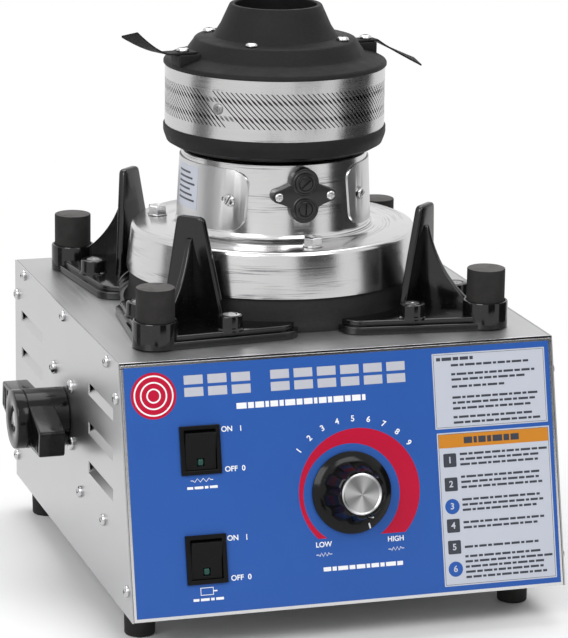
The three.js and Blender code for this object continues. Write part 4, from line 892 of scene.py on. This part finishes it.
def makeCoverPlates():
    form = coverForm
    low, high, gap, wall = form["low"], form["high"], form["gap"], form["wall"]
    middle, rise = (low + high) / 2, (high - low) / 2
    half = (housingForm["neckBase"] + wall) * math.sin(math.radians(form["halfAngle"]))
    long, wide = form["slotHalf"]
    for label, (side, screwTurn) in form["sides"].items():
        shell = wrapped("coverShell", low, high, gap, wall, 192)
        trim = plate("coverTrim", [rectangle(-half, half, -rise, rise, form["corner"], 8)], 0, 0.1)
        combine(shell, placed(trim, facingSide(side, 0, 0, middle)), 'INTERSECT')
        places = []
        for degrees, slide in form["slots"].items():
            turn = turnedBy(side * degrees) @ facingFront(0, 0, middle)
            slot = plate("slotTool", [rectangle(-long, long, -wide, wide, form["slotCorner"], 5)], 0.060, 0.095)
            combine(shell, placed(slot, turn))
            places.append(turn @ moved(slide, 0, neckRadius(middle) + gap + wall) @ turnedBy(screwTurn))
        rounded(shell, form["edge"], 2, 50)
        finishPiece(smoothed(shell, 30), "coverPlate", "cover_plate_" + label)
        if side < 0:
            makePlateLabel(gap + wall)
        scattered(label + "CoverScrews", "cover", places, cross=False)


brushForm = {
    "lobe": 0.0118, "half": 0.01045, "reach": 0.0215, "ear": 0.0052, "back": 0.0755, "edge": 0.0007, "pinch": 0.93,
    "tube": 0.0061, "tubeFrom": 0.047, "capRadius": 0.00825, "capShank": 0.0044, "slotWidth": 0.0017,
    "slotShare": 0.56, "caps": {"Upper": (1, 42), "Lower": (-1, 90)},
    "rim": [("capRadius", "front", (2.2, -1), (1.9, 0.1), (1.4, 0.5), (0.4, 0.5), (0.3, -1))],
    "cap": [
        ("capShank", "front", (0, -8)), ("capShank", "start"),
        ("capRadius", "start", (-0.3, 0), (0, 0.3), (0, 1), (-0.5, 1.6), (-1.98, 1.8), (-2.475, 1.4), (-2.805, 1.6),
         (-3.135, 2.8), (-3.7125, 3))],
}


# Two lobes above each other and an ear on each side, with hollow bends between them
def brushOutline():
    form = brushForm
    lobe, half, reach, ear = form["lobe"], form["half"], form["reach"], form["ear"]
    parts = [arc(reach, 0, ear, -62, 62, 10), arc(0, half, lobe, -4, 184, 26),
             arc(-reach, 0, ear, 118, 242, 10), arc(0, -half, lobe, 176, 364, 26)]
    outline = []
    for part, following in zip(parts, parts[1:] + parts[:1]):
        start, end = Vector(part[-1]), Vector(following[0])
        outline += part + curved(start, (start + end) / 2 * form["pinch"], end, [k / 6 for k in range(1, 6)])
    return outline


def makeBrushGear():
    form = brushForm
    low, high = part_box("brush_plate")
    front, centre, half, radius = -low.y, (low.z + high.z) / 2, form["half"], form["capRadius"]
    start = front + 0.0003
    marks = {**form, "front": front, "start": start}
    body = plate("brushPlateBody", [brushOutline()], form["back"], front, form["edge"])
    rims = [placed(lathed("capSeatRim", form["rim"], marks, 56, ring=True), moved(0, side * half))
            for side in (1, -1)]
    tubes = [placed(cylinder("brushTube", form["tube"], form["tubeFrom"], form["back"] + 0.001, 32),
                    moved(0, side * half)) for side in (1, -1)]
    piece = joined("brushPlateMoulding", [body, *rims, *tubes])
    finishPiece(placed(piece, facingFront(0, 0, centre)), "satin", "brush_plate")

    long, wide = radius * form["slotShare"], form["slotWidth"] / 2
    for label, (side, turn) in form["caps"].items():
        cap = lathed("brushCap" + label, form["cap"], marks, 56)
        slot = box("capSlot", (-long, -wide, start + 0.0014), (long, wide, start + 0.01))
        smoothed(combine(cap, placed(slot, turnedBy(turn))), 30)
        placed(cap, facingFront(0, 0, centre + side * half))
        finishPiece(cap, "satin", "brush_cap_" + label.lower())
    scattered("brushPlateScrews", "brush", [
        facingFront(side * form["reach"], -front, centre) @ turnedBy(20 * side) for side in (-1, 1)])


headForm = {
    "bore": 0.00665, "hub": 0.020, "radius": 0.0912, "chamber": 0.0876, "innerHub": 0.016, "rim": 0.008, "steps": 160,
    "bottom": 0.322, "neckBase": 0.049, "neckTop": 0.0376, "stepRadius": 0.0725, "shoulderRadius": 0.066,
    "stepRise": 0.0125, "shoulderRise": 0.0210, "postRadius": 0.005, "postRise": 0.0055,
    "screwCircle": 0.0575, "screwAngle": -36, "vaneAngle": -80, "vaneScrewCircle": 0.0835, "vaneScrewRise": 0.0149,
    "vaneSeat": ((0.0711, -0.0085, 0.0020), (0.0903, 0.0085, 0.0130)), "vaneSeatEdge": 0.0012, "vaneEdge": 0.0004,
    "seamRadius": 0.0898, "seamAngle": -47, "seamScrewShare": (0.86, 0.86, 0.5, 1),
    "base": [
        ("bore", "low"), ("hub", "low"), ("hub", "bottom"),
        ("zero", "bottom", (75, 0.3), (75.3, 0.9), (76.5, 1), (80.5, 1.6), (83, 2.4), (83.3, 3.1), (84.5, 3.3),
         (88.5, 5.6)),
        ("zero", "floor", (90.4, -0.4), (90.8, 0.8)), ("radius", "floor", (-0.2, 1.6), (0, 3)),
        ("radius", "rimTop", (0, -0.8), (-0.6, 0)), ("chamber", "rimTop"), ("chamber", "floor"),
        ("innerHub", "floor", (0, 0), (0, 12)), ("bore", "floor", (0, 12))],
    "cover": [
        ("zero", "rimLow", (86.2, 0)), ("radius", "rimLow", (-0.8, 0), (0, 0.8), (0, 2.4), (-0.7, 3.6), (-2.4, 4.5)),
        ("stepRadius", "step", (6, -5.2), (2.2, -4.2), (0.4, -2.6), (-0.9, 0)),
        ("shoulderRadius", "shoulder", (1.2, -2.2), (0.4, -0.8), (-0.6, 0.1), (-2.4, 0.6)),
        ("zero", "shoulder", (53, 1.6), (51.2, 2.2)), ("neckBase", "shoulder", (0.6, 4.2)),
        ("zero", "rimLow", (45.2, 32), (40.4, 42.6)),
        ("neckTop", "top", (0.2, -0.7), (-0.6, 0), (-3.4, 0), (-4, -0.6)),
        ("zero", "shoulder", (44, -4), (61, -6)), ("zero", "step", (67.5, -6))],
}


def makeHead():
    form = headForm
    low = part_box("head_base")[0]
    bandLow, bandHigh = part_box("head_band")
    coverLow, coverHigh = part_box("head_cover")
    rimLow, floor = coverLow.z, bandLow.z - form["rim"]
    shoulder = rimLow + form["shoulderRise"]
    marks = {**form, "low": low.z, "rimTop": bandLow.z, "floor": floor, "rimLow": rimLow, "shoulder": shoulder,
             "step": rimLow + form["stepRise"], "top": coverHigh.z}
    quarters, halves = (0, 90, 180, 270), (0, 180)

    base = lathed("lowerHeadCasting", form["base"], marks, form["steps"], ring=True)
    posts = [placed(cylinder("headPost", form["postRadius"], floor - 0.001, rimLow + form["postRise"], 24),
                    around(form["screwCircle"], form["screwAngle"] + turn)) for turn in quarters]
    base = joined("lowerHeadCasting", [base, *posts])
    finishPiece(smoothed(base, 32), "cast", "head_base", body="spinner")

    band = smoothed(dressed("head_band", "slottedBand"), 20)
    finishPiece(band, "band", "head_band", body="spinner")

    cover = lathed("upperHeadCasting", form["cover"], marks, form["steps"], ring=True)
    seats = []
    for turn in halves:
        seat = rounded(placed(box("vaneSeat", *form["vaneSeat"]), moved(0, 0, rimLow)), form["vaneSeatEdge"])
        seats.append(placed(seat, turnedBy(form["vaneAngle"] + turn - 90)))
    cover = joined("upperHeadCasting", [cover, *seats])
    finishPiece(smoothed(cover, 34), "cast", "head_cover", body="spinner")

    for side in ("left", "right"):
        vane = dressed("vane_" + side, "strapVane" + side.title(), form["vaneEdge"])
        finishPiece(vane, "cast", "vane_" + side, body="spinner")

    places = [around(form["screwCircle"], form["screwAngle"] + turn, shoulder + 0.0012) @ turnedBy(turn + 17)
              for turn in quarters]
    places += [around(form["vaneScrewCircle"], form["vaneAngle"] + turn, rimLow + form["vaneScrewRise"])
               for turn in halves]
    scattered("headScrews", "head", places, "spinner")
    seam = around(form["seamRadius"], form["seamAngle"], (bandLow.z + bandHigh.z) / 2) @ facingSide(1)
    flat = panHead("bandScrew", "head")
    flat.data.transform(seam @ Matrix.Diagonal(form["seamScrewShare"]))
    finishPiece(flat, "steel", body="spinner")


# Each part's rounded edge and its steps, and how far up the panel each switch stands
switchForm = {
    "across": -0.117, "ups": {"heat": 0.1293, "master": 0.0449},
    "body": (0.0006, 3), "rocker": (0.0005, 3), "lens": (0.0017, 5),
}


def makeSwitches():
    for label in switchForm["ups"]:
        for part, title, finishName, body in (("body", "SwitchBezel", "switch", "cabinet"),
                                              ("rocker", "SwitchRocker", "switch", label + "_rocker"),
                                              ("lens", "SwitchLamp", "lens", label + "_rocker")):
            nodeName = label + "_switch_" + part
            finishPiece(dressed(nodeName, label + title, *switchForm[part]), finishName, nodeName, body=body)


knobForm = {
    "across": 0.003, "up": 0.0876, "back": 0.0007, "height": 0.027, "skirtRadius": 0.03225, "gripRadius": 0.025,
    "capRadius": 0.01625, "flutes": 9, "fluteDepth": 0.0022, "fluteSharpness": 0.8, "pointer": -156,
    "skirt": [
        ("zero", "back", (4.6, 0)), ("skirtRadius", "back", (-0.4, 0), (0, 0.4), (0, 1.9), (-0.6, 2.4)),
        ("zero", "back", (29, 4)), ("gripRadius", "back", (1.2, 5.6)), ("zero", "back", (20, 6.2))],
    "grip": [
        ("zero", "zero", (26.2, 5), (25.2, 5.6), (24.6, 7), (21.8, 17), (19.9, 24.6), (19.3, 26.2)),
        ("zero", "height", (18.2, 0)), ("capRadius", "height", (0.5, 0), (0.3, -1.6))],
    "cap": [
        ("capRadius", "height", (0, -1.3), (0, 0.5), (-0.4, 1), (-1, 1.2), (-1.7, 0.9), (-2.1, 0.6)),
        ("zero", "height", (9, 0.7), (2, 0.8))],
    "markOnSkirt": ((-0.0006, 0.0262, 0.0053), (0.0006, 0.0316, 0.0059)), "markMiddle": (0, 0.0289, 0.0052),
    "markTilt": -32, "markOnGrip": ((-0.0006, 0.0203, 0.0160), (0.0006, 0.0208, 0.0262)),
}


def makeHeatKnob():
    form = knobForm
    place = onPanel(form["across"], form["up"], labelOut)
    skirt = lathed("knobSkirt", form["skirt"], form, 120)
    grip = lathed("knobGrip", form["grip"], form, 144)
    shaping = bmesh.new()
    shaping.from_mesh(grip.data)
    for vertex in shaping.verts:
        radius = math.hypot(vertex.co.x, vertex.co.y)
        if radius < form["capRadius"] + 0.001:
            continue
        wave = max(0.0, math.cos(form["flutes"] * math.atan2(vertex.co.x, vertex.co.y)))
        share = (radius - form["fluteDepth"] * wave ** form["fluteSharpness"]) / radius
        vertex.co.x *= share
        vertex.co.y *= share
    shaping.to_mesh(grip.data)
    shaping.free()
    knob = placed(joined("heatKnobMoulding", [skirt, grip]), place)
    finishPiece(smoothed(knob, 38), "dial", "heat_knob", body="heat_dial")

    cap = placed(lathed("knobCapDisc", form["cap"], form, 96), place)
    finishPiece(cap, "knobCap", "knob_cap", body="heat_dial")

    mark = box("pointerOnSkirt", *form["markOnSkirt"])
    middle = moved(*form["markMiddle"])
    mark.data.transform(middle @ turnedBy(form["markTilt"], 'X') @ middle.inverted())
    pointer = joined("knobPointer", [mark, box("pointerOnGrip", *form["markOnGrip"])])
    finishPiece(placed(pointer, place @ turnedBy(form["pointer"])), "white", body="heat_dial")


# Prints lie on the label in layers, each a film above the one before
printForm = {"textDepth": 0.00003, "inkDepth": 0.00006, "inkStart": 0.00002, "layer": 0.00005, "textSwell": 0.022}


def written(words, size, across, up, turn=0.0, layer=0):
    deselect()
    bpy.ops.object.text_add()
    text = bpy.context.object.data
    text.body = words
    text.size = size
    text.align_x = 'CENTER'
    text.align_y = 'CENTER'
    text.extrude = printForm["textDepth"]
    text.offset = size * printForm["textSwell"]
    bpy.ops.object.convert(target='MESH')
    out = labelOut + printForm["textDepth"] + layer * printForm["layer"]
    return placed(bpy.context.object, moved(across, up, out) @ turnedBy(turn))


def inked(outlines, layer=0):
    low = labelOut + printForm["inkStart"] + layer * printForm["layer"]
    return plate("ink", outlines, low, low + printForm["inkDepth"])


def panelPrint(name, pieces, finishName):
    return finishPiece(placed(joined(name, pieces), onPanel()), finishName)


def frameLine(left, right, low, high, width):
    return [rectangle(left, right, low, high), rectangle(left + width, right - width, low + width, high - width)]


def stroke(points, width):
    left, right = [], []
    for i, point in enumerate(points):
        before, after = Vector(points[max(i - 1, 0)]), Vector(points[min(i + 1, len(points) - 1)])
        along = (after - before).normalized()
        across = Vector((-along.y, along.x)) * width / 2
        left.append(tuple(Vector(point) + across))
        right.append(tuple(Vector(point) - across))
    return right + left[::-1]


# The sign of a heater: a line with six teeth and a short straight lead at each end
def zigzag(across, up, width=0.013, height=0.0028, teeth=6, lead=0.002):
    start, end = across - width / 2, across + width / 2
    points = [(start, up), (start + lead, up)]
    for k in range(teeth):
        x = start + lead + (k + 0.5) * (width - 2 * lead) / teeth
        points.append((x, up + (height / 2 if k % 2 else -height / 2)))
    return stroke(points + [(end - lead, up), (end, up)], 0.0005)


barLengths = (0.0062, 0.0034, 0.0081, 0.0047, 0.0070, 0.0028)
barGap = 0.0012


# A row of short bars in place of small print. The last value picks the length that the row starts with.
def smallPrint(left, right, up, height, start):
    bars = []
    while left + barLengths[start % 6] < right:
        bars.append(rectangle(left, left + barLengths[start % 6], up, up + height))
        left += barLengths[start % 6] + barGap
        start += 1
    return bars


seamShadowAndFoldForm = {
    "strips": ((0.1984, 0.1995), (0.1950, 0.1955)), "half": 0.1770, "under": -0.0002, "over": 0.0005,
    "foldBack": -0.1778, "foldFront": -0.1804, "foldLow": 0.1928, "foldTop": 0.1941, "foldEdge": 0.0006,
}


# Painted shadow as dark strips in the joint between the deck and the panel and along the label's top edge, and the
# folded edge between the deck and the panel
def makePanelJoint():
    form = seamShadowAndFoldForm
    half = form["half"]
    # Painted shadow: dark strips in the seam below the deck and along the label's top edge
    strips = [placed(box("seamShadowStrip", (-half, low, form["under"]), (half, high, form["over"])), onPanel())
              for low, high in form["strips"]]
    finishPiece(joined("panelJointShadow", strips), "switch")
    # The fold is rounded geometry; its brighter rim metal is a painted highlight along the deck's front edge
    fold = box("deckFold", (-half, form["foldFront"], form["foldLow"]), (half, form["foldBack"], form["foldTop"]))
    finishPiece(smoothed(rounded(fold, form["foldEdge"]), 40), "panelRim")


labelForm = {
    "title": (-0.1270, 0.1708, 0.1872), "tiles": 9, "tile": 0.0152, "tilePitch": 0.0190, "tileHalfGap": 0.0012,
    "wordEnd": 2, "wordGap": 0.0125, "titleBars": (-0.086, 0.0235, 0.1588, 0.0046, 2),
    "disc": (-0.1515, 0.1732, 0.0180), "rings": (0.88, 0.60, 0.32), "ringWidth": 0.0012,
    "arcUp": 0.0877, "innerArc": (0.0035, 0.0396), "outerArc": (0.0100, 0.0497), "arcCut": 0.0533,
    "innerDrop": 0.0014,
    "numberAcross": 0.0075, "numberCircle": 0.0572, "numberFrom": 142, "numberPitch": 13, "numberSize": 0.0064,
    "switchWords": (("ON", 0.0222, 0.0146), ("OFF", 0.0240, -0.0164), ("0", 0.0340, -0.0164)), "wordSize": 0.0058,
    "onMark": (0.0330, 0.0337, 0.0124, 0.0168), "underSwitch": {"heat": 0.0300, "master": 0.0320},
    "heatSignDrop": 0.0233, "motorSignDrop": 0.0247,
    "knobWords": (("LOW", -0.0247), ("HIGH", 0.0346)), "knobWordSize": 0.0056, "knobWordDrop": 0.0391,
    "knobSignDrop": 0.0468, "knobBars": (-0.026, 0.046, 0.0600),
}


def makeLabelPrint():
    label, knob, across, ups = labelForm, knobForm, switchForm["across"], switchForm["ups"]
    # Plain tiles stand where a machine carries its maker's title
    left, low, high = label["title"]
    middle, halfGap = (low + high) / 2, label["tileHalfGap"]
    tiles = []
    for k in range(label["tiles"]):
        x = left + label["tilePitch"] * k + (label["wordGap"] if k > label["wordEnd"] else 0)
        tiles += [rectangle(x, x + label["tile"], low, middle - halfGap),
                  rectangle(x, x + label["tile"], middle + halfGap, high)]
    panelPrint("titleTiles", [inked(tiles)], "silver")

    white = [inked(smallPrint(*label["titleBars"]))]
    discX, discUp, discRadius = label["disc"]
    for share in label["rings"]:
        radii = (discRadius * share, discRadius * share - label["ringWidth"])
        white.append(inked([arc(discX, discUp, radius, 0, 358, 48) for radius in radii], 1))
    left, right, low, high = label["onMark"]
    for switch, up in ups.items():
        white += [written(words, label["wordSize"], across + x, up + y) for words, x, y in label["switchWords"]]
        white.append(inked([rectangle(across + left, across + right, up + low, up + high)]))
        white.append(inked(smallPrint(across - 0.012, across + 0.014, up - label["underSwitch"][switch], 0.0020, 3)))
    white.append(inked([zigzag(across, ups["heat"] - label["heatSignDrop"], 0.018)]))
    motor = ups["master"] - label["motorSignDrop"]
    white.append(inked(frameLine(across - 0.0060, across + 0.0045, motor - 0.0030, motor + 0.0030, 0.0005)))
    white.append(inked([stroke([(across + 0.0045, motor), (across + 0.0075, motor)], 0.0010)]))
    for words, side in label["knobWords"]:
        x = knob["across"] + side
        white.append(written(words, label["knobWordSize"], x, knob["up"] - label["knobWordDrop"]))
        white.append(inked([zigzag(x, knob["up"] - label["knobSignDrop"])]))
    left, right, fall = label["knobBars"]
    white.append(inked(smallPrint(knob["across"] + left, knob["across"] + right, knob["up"] - fall, 0.0032, 0)))
    for k in range(9):
        turn = label["numberFrom"] - label["numberPitch"] * k
        x, up = arc(label["numberAcross"], label["arcUp"], label["numberCircle"], turn, turn, 1)[0]
        white.append(written(str(k + 1), label["numberSize"], x, up, turn - 90))
    panelPrint("whitePrint", white, "white")

    # The crescent round the heat knob lies between two arcs that are cut at one height
    cut, fall = label["arcCut"] - label["arcUp"], label["innerDrop"]
    innerX, innerRadius = label["innerArc"]
    outerX, outerRadius = label["outerArc"]
    innerEnd = math.degrees(math.asin((cut + fall) / innerRadius))
    outerEnd = math.degrees(math.asin(cut / outerRadius))
    crescent = (arc(innerX, label["arcUp"] - fall, innerRadius, 180 - innerEnd, innerEnd, 72)
                + arc(outerX, label["arcUp"], outerRadius, outerEnd, 180 - outerEnd, 72))
    disc = arc(discX, discUp, discRadius, 0, 356, 60)
    panelPrint("crimsonPrint", [inked([crescent]), inked([disc])], "crimson")


# Panels are left, right, low and high. Upper rows are (up, end), lower rows (up, number of bars rows).
noteForm = {
    "panels": ((0.0755, 0.1703, 0.1314, 0.1910), (0.0762, 0.1710, 0.0072, 0.1283)), "corner": 0.0006,
    "line": 0.0003, "lineInset": 0.0010, "headerInset": 0.0014, "headerHeight": 0.0106,
    "headerBars": (0.0985, 0.1450, 0.0092, 0.0050, 4), "upperTitle": (0.0790, 0.1130, 0.1850, 0.0026, 1),
    "barHeight": 0.0018, "upperLeft": 0.0910,
    "upperRows": ((0.1803, 0.161), (0.1732, 0.163), (0.1690, 0.155), (0.1634, 0.137), (0.1548, 0.165),
                  (0.1506, 0.166), (0.1462, 0.161), (0.1393, 0.161), (0.1350, 0.167)),
    "lowerRows": ((0.1100, 3), (0.0920, 3), (0.0740, 3), (0.0560, 2), (0.0365, 1), (0.0290, 5)),
    "lowerLeft": 0.0945, "lowerRight": 0.1685, "lowerPitch": 0.0041, "lowerShorter": 0.004,
    "markAcross": 0.0860, "markHalf": 0.0054, "markCorner": 0.0012, "discShare": 1.12, "markSize": 0.0070,
    "marks": ((0.1065, "square"), (0.0875, "square"), (0.0700, "disc"), (0.0548, "square"), (0.0378, "square"),
              (0.0205, "disc")),
}


def makeNotes():
    form = noteForm
    panels, inset, margin = form["panels"], form["lineInset"], form["headerInset"]
    panelPrint("notePanels", [inked([rectangle(*panel, form["corner"])]) for panel in panels], "paper")
    left, right, low, high = panels[1]
    header = rectangle(left + margin, right - margin, high - margin - form["headerHeight"], high - margin)
    panelPrint("noteHeader", [inked([header], 1)], "amber")

    ink = [inked(frameLine(x0 + inset, x1 - inset, y0 + inset, y1 - inset, form["line"]), 1)
           for x0, x1, y0, y1 in panels]
    ink.append(inked(smallPrint(*form["upperTitle"]), 1))
    for k, (up, end) in enumerate(form["upperRows"]):
        ink.append(inked(smallPrint(form["upperLeft"], end, up, form["barHeight"], k), 1))
    for k, (up, count) in enumerate(form["lowerRows"]):
        for row in range(k, k + count):
            end = form["lowerRight"] - form["lowerShorter"] * (row % 3)
            low = up - form["lowerPitch"] * (row - k)
            ink.append(inked(smallPrint(form["lowerLeft"], end, low, form["barHeight"], row), 1))
    left, right, fall, height, start = form["headerBars"]
    ink.append(inked(smallPrint(left, right, high - fall, height, start), 2))
    x, half = form["markAcross"], form["markHalf"]
    ink += [inked([rectangle(x - half, x + half, up - half, up + half, form["markCorner"])], 1)
            for up, shape in form["marks"] if shape == "square"]
    panelPrint("noteInk", ink, "ruling")
    discs = [inked([arc(x, up, half * form["discShare"], 0, 354, 32)], 1)
             for up, shape in form["marks"] if shape == "disc"]
    panelPrint("noteDiscs", discs, "label")
    numbers = [written(str(k + 1), form["markSize"], x, up, 0.0, 2) for k, (up, shape) in enumerate(form["marks"])]
    panelPrint("noteNumbers", numbers, "paper")


sideForm = {
    "y": -0.003, "z": 0.104, "tilt": 7, "barrel": 0.02435, "ring": 0.009, "ringGap": 0.001, "start": 0.013,
    "thickness": 0.021, "reach": 0.058, "root": 0.002, "tipHalf": 0.01075, "rootHalf": 0.0196, "wingCorner": 0.0035,
    "wingEdge": 0.0012, "wingLifts": {0: 0.0055, 180: 0}, "pockets": 4, "pocketFrom": 0.006, "pocketTo": 0.003,
    "pocketDepth": 0.009, "pocketWall": 0.0018, "pocketSide": 0.003, "pocketTaper": 0.1,
    "screw": 0.0085, "screwSunk": 0.0057, "slotShare": 0.92, "slotHalf": 0.0010, "slotUp": 0.0026, "slotTurn": 24,
    "barrelRows": [
        ("zero", "zero", (4, 0.8)), ("barrel", "zero", (-0.4, 0.8), (0, 1.2)),
        ("barrel", "end", (0, -0.3), (-0.3, 0), (-1.5, 0)), ("barrel", "ringStart", (-1.5, 0), (-0.3, 0), (0, 0.3)),
        ("barrel", "ringEnd", (0, -1.4), (-0.4, -0.5), (-1.4, 0)),
        ("zero", "ringEnd", (12.5, 0), (10.5, -1.2), (9.7, -3), (9.5, -6), (4, -6))],
    "screwRows": [
        ("zero", "zero", (3.5, -23.2)), ("zero", "seat", (3.5, 0)),
        ("screw", "seat", (0, 0), (0, 1.2), (-0.425, 2.4), (-1.7, 3.8), (-3.825, 4.7), (-6.375, 5))],
}


def makeSideKnob():
    form = sideForm
    start, end, radius = form["start"], form["start"] + form["thickness"], form["barrel"]
    ringStart = end + form["ringGap"]
    ringEnd = ringStart + form["ring"]
    seat = ringEnd - form["screwSunk"]
    marks = {**form, "end": end, "ringStart": ringStart, "ringEnd": ringEnd, "seat": seat}
    pieces = [lathed("knobBarrel", form["barrelRows"], marks, 80, ring=True)]

    tip, root, tipHalf, rootHalf = form["reach"], form["root"], form["tipHalf"], form["rootHalf"]
    pitch = (tip - radius - form["pocketFrom"] - form["pocketTo"]) / form["pockets"]
    outline = softCorners([(rootHalf, root), (tipHalf, tip), (-tipHalf, tip), (-rootHalf, root)], form["wingCorner"])
    for turn, lift in form["wingLifts"].items():
        wing = plate("knobWing", [outline], start, end, form["wingEdge"])
        for k in range(form["pockets"]):
            low = radius + form["pocketFrom"] + k * pitch
            half = tipHalf - form["pocketSide"] + (tip - low) * form["pocketTaper"]
            combine(wing, box("wingPocket", (-half, low, end - form["pocketDepth"]),
                              (half, low + pitch - form["pocketWall"], end + 0.001)))
        pieces.append(placed(smoothed(wing, 40), turnedBy(turn) @ moved(0, 0, lift)))
    knob = joined("sideKnobMoulding", pieces)
    outward = axes((0, 0, 1), (0, 1, 0), (-1, 0, 0), (-sideOut, form["y"], form["z"]))
    finishPiece(placed(knob, outward @ turnedBy(-form["tilt"])), "wing", "side_knob", body="side_dial")

    screw = lathed("sideKnobBolt", form["screwRows"], marks, 48)
    long, wide = form["screw"] * form["slotShare"], form["slotHalf"]
    slot = box("boltSlot", (-long, -wide, seat + form["slotUp"]), (long, wide, seat + 0.01))
    combine(screw, placed(slot, turnedBy(form["slotTurn"])))
    finishPiece(placed(smoothed(screw, 35), outward), "plated", "side_knob_screw", body="side_dial")


glandForm = {
    "back": 0.180,
    "profile": [("zero", "zero", (4.2, -8.7), (8.6, -8.7), (8.6, 0.3), (12.6, 0.3), (12.6, 2.3), (11.8, 3.4),
                 (9.6, 5), (8.5, 5.3), (5.5, 5.3), (4.2, 4))],
}


def makeCordGland():
    low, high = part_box("cord_gland")
    place = ((low.x + high.x) / 2, glandForm["back"], (low.z + high.z) / 2)
    piece = lathed("cordGlandBush", glandForm["profile"], {}, 48, ring=True)
    finishPiece(placed(piece, axes((-1, 0, 0), (0, 0, 1), (0, 1, 0), place)), "satin", "cord_gland")


# Solids that keep their own mesh, by finish
ownMeshes = {
    "label": ("control_label",),
    "steel": ("heat_control", "heat_spindle", "motor_case", "main_shaft", "cooling_fan", "heater_ribbon"),
    "bronze": ("shaft_bush_lower", "shaft_bush_upper", "slip_ring_lower", "slip_ring_upper"),
    "satin": ("slip_ring_hub", "side_control"),
    "carbon": ("carbon_brush_lower", "carbon_brush_upper"),
}


def finishOwnMeshes():
    for finishName, nodeNames in ownMeshes.items():
        for nodeName in nodeNames:
            finishNode(nodeName, finishName)


# Cards are name, turn, distance, width, bottom, top and tone. Lamps are name, place, width, height and power.
studio = {
    "azimuth": 17.34, "elevation": 14.22, "roll": 0.80, "distance": 2.703, "target": (0.0107, 0.0, 0.1735),
    "focalPixels": 3242, "imageHeight": 638, "sensor": 36.0,
    "floor": -0.030, "floorSize": 12.0, "shadowReach": 0.24, "whiteFrom": 0.42,
    "cards": [("rightFlag", -14, 0.85, 0.76, -0.029, 0.46, 0.04), ("leftFlag", 174, 0.95, 0.40, -0.029, 0.40, 0.22),
              ("cameraFlag", -107, 0.88, 0.20, -0.029, 0.13, 0.02), ("panelFlag", -73, 1.20, 0.64, 0.24, 0.80, 0.02)],
    "lamps": [("keyLamp", (-1.9, -1.7, 1.9), 1.6, 1.6, 40), ("fillLamp", (0.6, -2.1, 2.3), 1.4, 1.2, 24),
              ("topLamp", (0.2, 0.7, 2.4), 2.2, 1.6, 34)],
    "lampAim": (0, 0, 0.2),
    "sky": ((0.0, (0.95, 0.95, 0.95, 1)), (0.35, (0.62, 0.62, 0.63, 1)), (0.9, (0.30, 0.30, 0.31, 1))),
}


def makeCamera():
    turn, rise, roll = (math.radians(studio[key]) for key in ("azimuth", "elevation", "roll"))
    back = Vector((-math.sin(turn) * math.cos(rise), -math.cos(turn) * math.cos(rise), math.sin(rise)))
    level = (-back).cross(Vector((0, 0, 1))).normalized()
    upright = level.cross(-back)
    right = level * math.cos(roll) + upright * math.sin(roll)
    up = upright * math.cos(roll) - level * math.sin(roll)
    data = bpy.data.cameras.new("photoCamera")
    data.sensor_width = studio["sensor"]
    data.lens = studio["focalPixels"] / studio["imageHeight"] * studio["sensor"]
    camera = bpy.data.objects.new("photoCamera", data)
    bpy.context.scene.collection.objects.link(camera)
    camera.matrix_world = axes(right, up, back, Vector(studio["target"]) + back * studio["distance"])
    bpy.context.scene.camera = camera


def softLamp(name, place, width, height, power):
    data = bpy.data.lights.new(name, 'AREA')
    data.shape = 'RECTANGLE'
    data.size, data.size_y = width, height
    data.energy = power
    lamp = bpy.data.objects.new(name, data)
    bpy.context.scene.collection.objects.link(lamp)
    lamp.location = place
    lamp.rotation_euler = (Vector(place) - Vector(studio["lampAim"])).to_track_quat('Z', 'Y').to_euler()


# A pale floor that turns pure white away from the machine's shadow
def makeFloor():
    deselect()
    bpy.ops.mesh.primitive_plane_add(size=studio["floorSize"], location=(0, 0, studio["floor"]))
    floor = bpy.context.object
    floor.name = "paleFloor"
    finish = Finish("paleFloorPaint")
    colour = finish.blend(finish.noise(3.0), (0.9, 0.9, 0.9, 1), (0.94, 0.94, 0.94, 1))
    paint = finish.node("ShaderNodeBsdfPrincipled", values={"Base Color": colour, "Roughness": 0.8}, output="BSDF")
    white = finish.node("ShaderNodeEmission", values={"Color": (1, 1, 1, 1), "Strength": 1.0})
    x, y = finish.axis("X"), finish.axis("Y")
    away = finish.ramp((x * x + y * y) ** 0.5, (studio["shadowReach"], 0.0), (studio["whiteFrom"], 1.0))
    finish.closed(finish.node("ShaderNodeMixShader", values={0: away * finish.seen(), 1: paint, 2: white}))
    floor.data.materials.append(finish.material)


def makeStudio():
    makeFloor()
    # Dark cards that no camera sees, which the metal and the gloss show as dark bands
    for name, turn, distance, width, bottom, top, tone in studio["cards"]:
        card = box(name, (distance, -width / 2, bottom), (distance + 0.006, width / 2, top))
        placed(card, turnedBy(turn))
        paint = Finish(name + "Paint")
        paint.surface(paint.blend(paint.noise(40.0), grey(tone * 0.9), grey(tone)), 0.8, Specular_IOR_Level=0.1)
        card.data.materials.append(paint.material)
        card.visible_camera = False
    for lamp in studio["lamps"]:
        softLamp(*lamp)
    sky = Finish("studioWorld", world=True)
    shade = sky.blend(sky.seen(), sky.ramp(sky.axis("Z"), *studio["sky"]), (1, 1, 1, 1))
    sky.closed(sky.node("ShaderNodeBackground", values={"Color": shade}))
    bpy.context.scene.world = sky.material
    bpy.context.scene.view_settings.view_transform = 'Standard'


makeCamera()
makeStudio()
print("studio and camera set")
makeSheets()
makeSideScrews()
print("cabinet sheets and screws done")
makeFeetAndBumpers()
makeBrackets()
print("feet, bumpers and brackets done")
makeCollar()
makeHousing()
makeHousingBolts()
makeCoverPlates()
makeBrushGear()
print("collar, housing and brush gear done")
makeHead()
print("spinning head done")
makeSwitches()
makeHeatKnob()
makePanelJoint()
makeLabelPrint()
makeNotes()
print("controls and label done")
makeSideKnob()
makeCordGland()
finishOwnMeshes()
print("side knob, gland and inner parts done")
